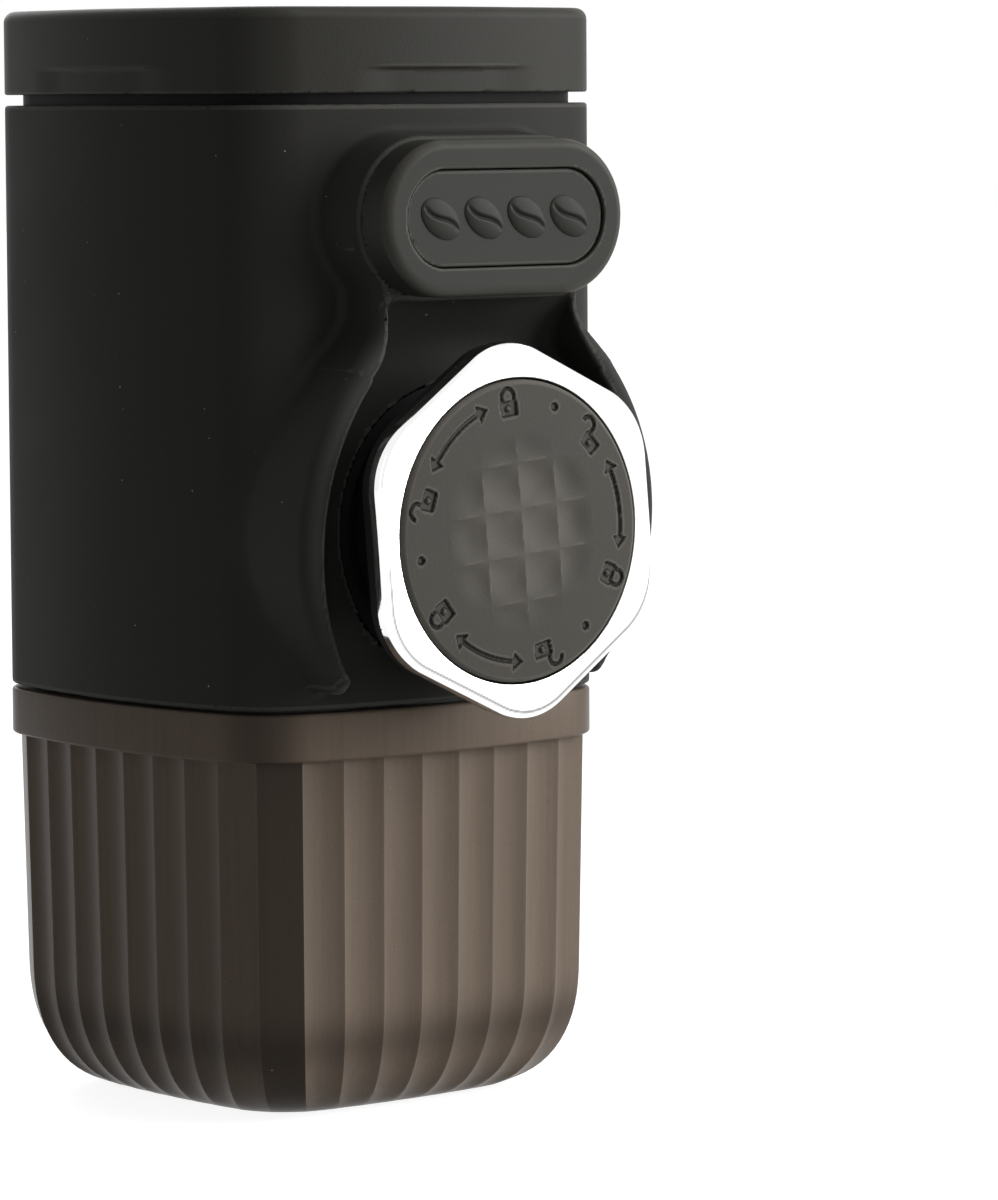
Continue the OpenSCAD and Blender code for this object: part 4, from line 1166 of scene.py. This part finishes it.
@dataclass
class Cup:
    """Smoky cup: a smooth band at the mouth, flutes below it and a rounded foot."""

    box: Box
    side: RoundSquare = RoundSquare(130.0)
    corner: float = 11.0
    band_h: float = 6.2
    band_edge: float = 0.45
    band_wall: float = 2.6
    lip: float = 0.2
    mouth_corner: float = 10.0
    seat_depth: float = 6.8
    seat_ledge: float = 1.6
    seat_corner: float = 9.5
    bowl_corner: float = 9.0
    bowl_share: float = 0.84
    floor_t: float = 3.2
    # Outside below the band
    taper: float = 0.017
    foot_h: float = 16.7
    foot_run: float = 11.6
    foot_power: float = 2.38
    side_corner: float = 7.5
    foot_corner: float = 0.15
    base_corner: float = 9.2
    # Flutes
    flute_step: float = 1.9
    flutes: int = 36
    flute_shift: float = 0.34
    flute_d: float = 0.55
    flute_fade: float = 2.0
    flute_gap: float = 0.7
    flute_end: float = 0.5
    columns_per_flute: int = 12
    seam_nudge: float = 0.001
    edge_bend: float = 1.1
    hollow_bend: float = -0.1
    # Rings of points
    base_shares: tuple[float, ...] = (0.3, 0.6, 0.85)
    foot_parts: int = 18
    side_rings: int = 12
    edge_parts: int = 4
    bowl_drop: float = 1.0
    bowl_rings: int = 8
    bowl_parts: int = 12
    floor_shares: tuple[float, ...] = (0.8, 0.5, 0.2)
    sharp_from: float = math.radians(26)
    # Painted shade at the corners and random tone per flute, as shares of the plastic's colour, where more
    # than 1 counts as 1
    shaded_corner_share: float = 0.12
    corner_wide: float = 0.55
    corner_power: int = 4
    tone_spread: float = 0.08
    tone_turn: float = 2.4
    band_shade_gain: float = 1.2
    band_wide: float = 0.95
    band_power: int = 2
    band_shade_strength: float = 0.72
    band_shift: float = 0.04

    def foot_in(self, t: Array) -> Array:
        """How far the foot's curve has come in, at a share of its height."""
        power = self.foot_power
        return self.foot_run * (1 - np.maximum(0, 1 - (1 - clamp01(t)) ** power) ** (1 / power))

    def half_at(self, z: float) -> float:
        """Distance of the outside's flat from the middle, at a height."""
        sloped = self.taper * (self.box.z1 - self.band_h - z)
        return float(self.box.x1 - self.flute_step - sloped - self.foot_in(z / self.foot_h))

    def bowl_at(self, z: float) -> float:
        """Distance of the inside's flat from the middle, at a height."""
        inner = self.box.x1 - self.band_wall - self.seat_ledge
        share = (z - self.floor_t) / (self.foot_h - self.floor_t)
        sloped = self.taper * (self.box.z1 - self.seat_depth - z)
        return float(inner - sloped - self.bowl_share * self.foot_in(share))

    def shade(self, at: Array, wide: float, power: int, dark: float) -> Array:
        """Share of the plastic's colour round the cup, with painted shade at its corners.

        Args:
            at: Place round the cup, counted in flutes.
            wide: How far the dark reaches from a corner, in flutes.
            power: How sharply it ends.
            dark: Its strength.

        Returns:
            Share of the colour that stays.
        """
        quarter = self.flutes / 4
        off = np.abs(np.mod(at + self.flute_shift, quarter) - quarter / 2)
        return 1 - dark * (1 - self.shaded_corner_share) * np.exp(-(off / wide) ** power)

    def build(self, wardrobe: Wardrobe) -> None:
        """Builds the cup and dresses it."""
        count = self.flutes * self.columns_per_flute
        column = np.arange(count) / self.columns_per_flute
        share = (column + self.flute_shift) / self.flutes
        top, foot_h, floor_t = self.box.z1 - self.band_h, self.foot_h, self.floor_t
        rings, fades, outs = [], [], []

        def ring(flat: float, corner: float, z: float, fade: float = 0.0,
                 section: RoundSquare = SECTION) -> None:
            """Adds a ring of a section at a height."""
            px, py, nx, ny = section.walk(share, flat, corner)
            rings.append(np.stack([px, py, np.full(count, z)], axis=1))
            outs.append(np.stack([nx, ny, np.zeros(count)], axis=1))
            fades.append(np.full(count, fade))

        def outside(z: float, fade: float) -> None:
            """Adds a ring of the fluted outside."""
            inset = self.box.x1 - self.flute_step - self.half_at(z)
            ring(self.half_at(z), self.side_corner + self.foot_corner * inset, z, fade, self.side)

        def rise(part: int, parts: int) -> float:
            """Share of a quarter round's height after some of its parts."""
            return 1 - math.cos(math.pi / 2 * part / parts)

        for inner in self.base_shares:
            ring(self.half_at(0.0) * inner, self.base_corner * inner, 0.0, 0.0, self.side)
        for k in range(self.foot_parts + 1):
            z = foot_h * rise(k, self.foot_parts)
            outside(z, min(1.0, z / self.flute_fade))
        for z in np.linspace(foot_h, top - self.flute_gap, self.side_rings)[1:]:
            outside(float(z), 1.0)
        parts = self.edge_parts
        for k in range(parts + 1):
            outside(top - self.flute_end * (1 - k / parts), 1.0 - (k / parts) ** 2)
        flat, edge = self.box.x1, self.band_edge
        ring(flat - edge, self.corner - edge, top)
        for k in range(parts + 1):
            ring(flat - edge * rise(parts - k, parts), self.corner, top + edge * rise(k, parts))
        for k in range(parts + 1):
            ring(flat - edge * rise(k, parts), self.corner, self.box.z1 - edge * rise(parts - k, parts))
        mouth, seat = flat - self.band_wall, self.box.z1 - self.seat_depth
        ring(mouth + self.lip, self.mouth_corner, self.box.z1)
        ring(mouth, self.mouth_corner, self.box.z1 - self.lip)
        ring(mouth, self.mouth_corner, seat)
        ring(mouth - self.seat_ledge, self.seat_corner, seat)
        bowl = [float(z) for z in np.linspace(seat - self.bowl_drop, foot_h, self.bowl_rings)]
        parts = self.bowl_parts
        bowl += [floor_t + (foot_h - floor_t) * rise(k, parts) for k in reversed(range(parts))]
        for z in bowl:
            ring(self.bowl_at(z), self.bowl_corner, z)
        for inner in self.floor_shares:
            ring(self.bowl_at(floor_t) * inner, self.bowl_corner * inner, floor_t)

        piece = loft("cup_shell", rings)
        ends = np.zeros(1)
        # Arrises are marked as raised edges, for the painted highlight along them
        bend = np.where(np.arange(count) % self.columns_per_flute == 0, self.edge_bend, self.hollow_bend)
        kept = {"around": [np.arange(count) / count] * len(rings), "fade": fades,
                "bend": [bend * fade for fade in fades]}
        for label, values in kept.items():
            keep_values(piece, label, np.concatenate([ends, *values, ends]))
        # Painted shade at the corners of the flutes and the band, with a random tone per flute
        flute = np.floor(column)
        fluted = self.shade(flute + 0.5, self.corner_wide, self.corner_power, 1.0)
        fluted = fluted * (1 + self.tone_spread * np.sin(flute * self.tone_turn))
        smooth = self.shade(column + self.band_shift, self.band_wide, self.band_power, self.band_shade_strength)
        smooth = smooth * self.band_shade_gain
        rows = [fluted if low.min() + high.min() > 0 else smooth for low, high in zip(fades, fades[1:])]
        keep_values(piece, "shade_and_tone", np.concatenate([*rows, smooth, smooth]), "FACE")
        outward = np.concatenate([np.zeros((1, 3)), *outs, np.zeros((1, 3))]).ravel()
        piece.data.attributes.new("outward", "FLOAT_VECTOR", "POINT").data.foreach_set("vector", outward)
        self.press_flutes(piece, wardrobe.material(Look.SMOKY_CUP))
        piece.data.set_sharp_from_angle(angle=self.sharp_from)
        wardrobe.dress(piece, Look.SMOKY_CUP, "cup_body", "cup")

    def press_flutes(self, piece: Piece, material: bpy.types.Material) -> None:
        """Presses the hollow flutes into the side by a node tree.

        Args:
            piece: The plain cup, with its around, fade and outward attributes.
            material: The material that the tree sets.
        """
        tool = MeshTool("press_flutes", {
            "Flute count": ("Float", float(self.flutes)), "Flute depth": ("Float", self.flute_d * MM),
            "Material": ("Material", material)})
        graph, given = tool.graph, tool.given
        turns = graph.product(graph.named("around"), given["Flute count"])
        part = graph.math("FRACT", graph.math("ADD", turns, self.seam_nudge))
        hollow = graph.product(part, graph.math("SUBTRACT", 1.0, part), 4.0)
        inward = graph.product(hollow, given["Flute depth"], graph.named("fade"), -1.0)
        move = graph.vector("SCALE", {0: graph.named("outward", "FLOAT_VECTOR"), "Scale": inward})
        moved = graph.node("GeometryNodeSetPosition", {"Geometry": given["Geometry"], "Offset": move})
        tool.run(moved.outputs[0], piece)


@dataclass(frozen=True)
class Padlock:
    """Small engraved padlock, round its own middle."""

    block_x: float = 1.15
    block_up: float = 0.7
    block_down: float = 0.85
    block_r: float = 0.35
    keyhole_r: float = 0.3
    bow_r: float = 0.95
    bow_w: float = 0.3
    bow_up: float = 0.75

    def distance(self, across: Array, up: Array, swing: float) -> Array:
        """Signed distance to the padlock.

        Args:
            across: Distance from its middle, sideways.
            up: Distance from its middle, upwards.
            swing: How far its bow is swung aside; 0 is shut.

        Returns:
            Signed distance, below 0 inside.
        """
        high = up + self.block_down
        block = np.hypot(np.maximum(np.abs(across) - self.block_x, 0),
                         np.maximum(np.abs(high) - self.block_up, 0)) - self.block_r
        block = np.maximum(block, self.keyhole_r - np.hypot(across, high))
        shifted = across - swing
        arch = np.abs(np.hypot(shifted, up - self.bow_up) - self.bow_r) - self.bow_w
        leg = np.maximum(np.abs(np.abs(shifted) - self.bow_r) - self.bow_w,
                         np.abs(up - self.bow_up / 2) - self.bow_up / 2)
        if swing:
            leg = np.maximum(leg, shifted)
        return np.minimum(block, np.minimum(np.maximum(arch, self.bow_up - up), leg))


@dataclass
class Knob:
    """Six-lobed chrome ring and the rubber disc in it."""

    ring: Box
    disc: Box
    flat: float = 44.9
    lobe_r: float = 10.5
    lean: float = math.radians(5)
    hole_r: float = 19.65
    hole_edge: float = 0.2
    chamfer: float = 0.8
    # Thin painted dark reflection along the ring's edge
    line_in: float = 0.95
    line_core: float = 0.112
    line_rim: float = 0.336
    # Disc with its engraved marks
    dome: float = 0.4
    disc_edge: float = 0.6
    padlock: Padlock = Padlock()
    padlock_swing: float = 1.8
    marks_at: float = math.radians(65)
    mark_r: float = 16.7
    mark_w: float = 0.72
    mark_d: float = 0.38
    mark_soft: float = 0.06
    mark_deep: float = 0.1
    dot_r: float = 0.6
    lock_at: float = math.radians(27)
    arc_from: float = math.radians(43)
    head_slope: float = 0.75
    head_tip: float = 1.1
    head_back: float = 0.55
    # Square dishes in the disc's middle
    facet: float = 5.95
    facet_d: float = 0.46
    facet_reach: float = 13.2
    facet_fade: float = 5.0
    # Middle rubbed by the thumb
    rub_from: float = 3.0
    rub_to: float = 17.5
    rub_bend: float = 1.1
    rub_above: float = -0.6
    # Grids, across and in depth
    ring_step: float = 0.22
    ring_quick: float = 0.4
    ring_deep: float = 0.2
    disc_step: float = 0.2
    disc_quick: float = 0.5
    disc_deep: float = 0.25

    @property
    def axis_z(self) -> float:
        """Height of the knob's axis."""
        return self.disc.middle[2]

    def lobes(self, x: Array, z: Array) -> Array:
        """Signed distance to the six-lobed outline, round the origin."""
        angle = np.arctan2(z, x) - self.lean - math.pi / 6
        part = math.pi / 3
        angle = angle - part * np.round(angle / part)
        cos, sin = math.cos(part / 2), math.sin(part / 2)
        r = np.hypot(x, z)
        px, pz = r * np.cos(angle), np.abs(r * np.sin(angle))
        at = (self.flat / 2 - self.lobe_r) / cos
        lobe = np.hypot(px - at, pz) - self.lobe_r
        side = px * cos + pz * sin - self.flat / 2
        return np.where((px - at) * sin - pz * cos > 0, lobe, side)

    def ring_shape(self, x: Array, y: Array, z: Array) -> Array:
        """Signed distance to the chrome ring."""
        w = z - self.axis_z
        solid = cut_round(self.lobes(x, w), self.ring.y0 - y, self.chamfer)
        solid = np.maximum(solid, y - self.ring.y1)
        return cut_round(solid, self.hole_r - np.hypot(x, w), self.hole_edge)

    def marks(self, x: Array, z: Array) -> Array:
        """Signed distance to the engraved marks, round the origin.

        Each third of the way round has a dot, an open lock, an arrow with two heads and a shut lock.
        """
        angle = np.arctan2(z, x) - self.lean - self.marks_at
        third = 2 * math.pi / 3
        angle = angle - third * np.round(angle / third)
        up = np.hypot(x, z) - self.mark_r
        along = self.mark_r * angle
        dot = np.hypot(along, up) - self.dot_r
        far = np.abs(along) - self.arc_from * self.mark_r
        marks = np.minimum(dot, np.maximum(np.abs(up) - self.mark_w / 2, -far))
        wedge = (np.abs(up) - self.head_slope * (far + self.head_tip)) / math.hypot(1, self.head_slope)
        marks = np.minimum(marks, np.maximum(wedge, far - self.head_back))
        for side, swing in ((1, 0.0), (-1, self.padlock_swing)):
            lock = self.padlock.distance(along - side * self.lock_at * self.mark_r, up, swing)
            marks = np.minimum(marks, lock)
        return marks

    def dish(self, x: Array, z: Array) -> Array:
        """Depth of the square dishes in the disc's middle."""
        c, s = math.cos(self.lean), math.sin(self.lean)
        u, v = (x * c + z * s) / self.facet, (z * c - x * s) / self.facet
        fu, fv = u - np.floor(u) - 0.5, v - np.round(v)
        near = smooth_step(-np.hypot(x, z), -self.facet_reach, -self.facet_reach + self.facet_fade)
        return self.facet_d * near * (1 - 4 * fu * fu) * (1 - 4 * fv * fv)

    def disc_shape(self, x: Array, y: Array, z: Array) -> Array:
        """Signed distance to the rubber disc."""
        w = z - self.axis_z
        r = np.hypot(x, w)
        front = self.disc.y0 + self.dome * (r / self.disc.x1) ** 2 + self.dish(x, w)
        front = front + self.mark_d * smooth_step(-self.marks(x, w), -self.mark_soft, self.mark_deep)
        solid = cut_round(r - self.disc.x1, front - y, self.disc_edge)
        return np.maximum(solid, y - self.disc.y1)

    def build(self, wardrobe: Wardrobe) -> None:
        """Builds the ring and the disc."""
        ring, disc = self.ring, self.disc
        fine = grid_step(self.ring_step)
        piece = skin("knob_ring", self.ring_shape, ring.grid("x", fine), ring.grid("y", self.ring_deep),
                     ring.grid("z", fine))
        # Marks where the painted dark reflection runs along the ring's edge
        x, y, z = places_of(piece).T
        off = np.hypot(self.lobes(x, z - self.axis_z) + self.line_in, y - ring.y0)
        keep_values(piece, "painted_reflection_line", 1 - smooth_step(off, self.line_core, self.line_rim))
        wardrobe.dress(piece, Look.CHROME_RING, "knob", "knob_rim")
        fine = grid_step(self.disc_step)
        piece = skin("knob_disc", self.disc_shape, disc.grid("x", fine), disc.grid("y", self.disc_deep),
                     disc.grid("z", fine))
        self.rub_middle(piece)
        wardrobe.dress(piece, Look.KNOB_RUBBER, "knob", "knob_insert")

    def rub_middle(self, piece: Piece) -> None:
        """Marks the disc's middle, where a thumb presses it, as rubbed."""
        x, _, z = places_of(piece).T
        bends = piece.data.attributes["bend"].data
        values = np.empty(len(x), dtype=np.float32)
        bends.foreach_get("value", values)
        middle = 1 - smooth_step(np.hypot(x, z - self.axis_z), self.rub_from, self.rub_to)
        wear_and_highlight = np.maximum(values, self.rub_bend * middle)
        bends.foreach_set("value", np.where(values > self.rub_above, wear_and_highlight, values))


@dataclass(frozen=True)
class ReturnSpring:
    """Coil behind the knob's body."""

    box: Box
    coil_r: float = 8.6
    wire: float = 1.1
    curls: int = 6
    end_turn: float = 0.75
    close: float = 0.9
    press: float = 8.0
    turn_steps: int = 48
    sides: int = 10

    @property
    def length(self) -> float:
        """Length of the unpressed coil."""
        return self.box.y1 - self.box.y0

    def lift(self, turns: Array) -> Array:
        """Distance of the wire's middle from the fixed end, after so many turns."""
        flat = self.wire * self.close
        knots = [0.0, self.end_turn, self.curls - self.end_turn, self.curls]
        heights = [0.0, flat, self.length - self.wire - flat, self.length - self.wire]
        return self.wire / 2 + np.interp(turns, knots, heights)

    def build(self, wardrobe: Wardrobe) -> None:
        """Makes the coil, with closed turns at both ends."""
        turns = np.linspace(0.0, self.curls, self.curls * self.turn_steps + 1)
        angle = 2 * math.pi * turns
        out = np.stack([np.cos(angle), np.zeros_like(angle), np.sin(angle)], axis=1)
        path = out * self.coil_r + np.array([0.0, self.box.y1, self.box.middle[2]])
        path[:, 1] -= self.lift(turns)
        along = np.gradient(path, axis=0)
        along /= np.linalg.norm(along, axis=1, keepdims=True)
        up = np.cross(along, out)
        side = np.cross(up, along)
        around = 2 * math.pi * np.arange(self.sides)[:, None] / self.sides
        rings = [path[i] + self.wire / 2 * (np.cos(around) * side[i] + np.sin(around) * up[i])
                 for i in range(len(path))]
        coil = loft("return_spring_coil", rings)
        wardrobe.dress(coil, Look.STEEL, "housing", "return_spring")
        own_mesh(coil)


def facing(place: Place, aim: Place, roll: float = 0.0) -> Matrix:
    """Frame of a camera or lamp that looks at a point.

    Args:
        place: Where it stands, in millimetres.
        aim: The point that it looks at, in millimetres.
        roll: Clockwise turn of the view, in radians.

    Returns:
        Its world matrix.
    """
    at = Vector(place) * MM
    look = (Vector(aim) * MM - at).to_track_quat("-Z", "Y")
    return Matrix.Translation(at) @ look.to_matrix().to_4x4() @ Matrix.Rotation(-roll, 4, "Z")


@dataclass(frozen=True)
class Lamp:
    """Soft rectangular lamp: its place and size in millimetres and its power in watts."""

    name: str
    place: Place
    width: float
    height: float
    power: float


@dataclass
class Studio:
    """Pale floor, soft lamps and the camera at the photograph's viewing angle."""

    eye: Place = (-482.05, -620.69, 133.3)
    aim: Place = (20.55, -17.12, 65.0)
    roll: float = math.radians(0.344)
    lens: float = 176.48
    sensor: float = 36.0
    far: float = 20.0
    sky: float = 0.08
    floor_half: float = 4000.0
    floor_grey: Colour = (0.3, 0.3, 0.3)
    floor_rough: float = 0.6
    floor_glow: float = 0.9
    lamp_aim: Place = (0.0, 0.0, 75.0)
    lamps: tuple[Lamp, ...] = (
        Lamp("key", (610, -560, 330), 800, 800, 10.5),
        Lamp("top", (160, -380, 760), 300, 300, 1.2),
        Lamp("strip", (-480, -560, 260), 90, 520, 0.4),
        Lamp("rim", (250, 620, 420), 420, 420, 1.2),
    )

    def build(self) -> None:
        """Builds the whole studio."""
        self.add_camera()
        self.add_floor()
        self.add_world()
        for lamp in self.lamps:
            self.add_lamp(lamp)

    def add_camera(self) -> None:
        """Places the camera and makes it the scene's own."""
        data = bpy.data.cameras.new("camera")
        data.lens, data.sensor_width, data.sensor_fit = self.lens, self.sensor, "AUTO"
        data.clip_end = self.far
        camera = bpy.data.objects.new("camera", data)
        bpy.context.scene.collection.objects.link(camera)
        camera.matrix_world = facing(self.eye, self.aim, self.roll)
        bpy.context.scene.camera = camera

    def add_floor(self) -> None:
        """Lays the pale floor."""
        h = self.floor_half
        corners = np.array([[-h, -h, 0], [h, -h, 0], [h, h, 0], [-h, h, 0]])
        floor = new_piece("floor", corners, [[0, 1, 2, 3]])
        made, graph, shader = start_material("pale_floor")
        graph.feed(shader, {
            "Base Color": paint(self.floor_grey),
            "Roughness": self.floor_rough,
            "Emission Color": paint(WHITE),
            "Emission Strength": graph.product(self.seen_rays(graph), self.floor_glow)})
        floor.data.materials.append(made)

    @staticmethod
    def seen_rays(graph: Graph) -> Socket:
        """Gives 1 on rays that show the background: straight, in a reflection or through glass."""
        rays = graph.node("ShaderNodeLightPath").outputs
        clear = graph.math("MAXIMUM", rays["Is Glossy Ray"], rays["Is Transmission Ray"])
        return graph.math("MAXIMUM", rays["Is Camera Ray"], clear)

    def add_world(self) -> None:
        """Lights everything evenly and shows white behind the object."""
        world = bpy.data.worlds.new("studio")
        world.use_nodes = True
        graph = Graph(world.node_tree)
        strength = graph.math("MAXIMUM", self.seen_rays(graph), self.sky)
        graph.feed(graph.tree.nodes["Background"], {"Strength": strength, "Color": paint(WHITE)})
        bpy.context.scene.world = world

    def add_lamp(self, lamp: Lamp) -> None:
        """Hangs a lamp, turned to the object's middle."""
        data = bpy.data.lights.new(lamp.name, "AREA")
        data.shape = "RECTANGLE"
        data.size, data.size_y = lamp.width * MM, lamp.height * MM
        data.energy = lamp.power
        made = bpy.data.objects.new(lamp.name, data)
        bpy.context.scene.collection.objects.link(made)
        made.matrix_world = facing(lamp.place, self.lamp_aim)


def main() -> None:
    """Builds the studio and every piece, in order."""
    logging.basicConfig(level=logging.INFO, format="%(message)s")
    bpy.context.scene.view_settings.view_transform = "Standard"
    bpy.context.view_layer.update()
    Studio().build()
    wardrobe = Wardrobe()
    badge, disc = Box.of("oval_cap"), Box.of("knob_insert")
    Casing(Box.of("casing"), badge, disc.middle[2]).build(wardrobe)
    Badge(badge, Box.of("oval_inlay")).build(wardrobe)
    Lid(Box.of("lid")).build(wardrobe)
    Cup(Box.of("cup")).build(wardrobe)
    Knob(Box.of("knob_rim"), disc).build(wardrobe)
    ReturnSpring(Box.of("return_spring")).build(wardrobe)
    wardrobe.dress_frame()


if __name__ == "__main__":
    main()
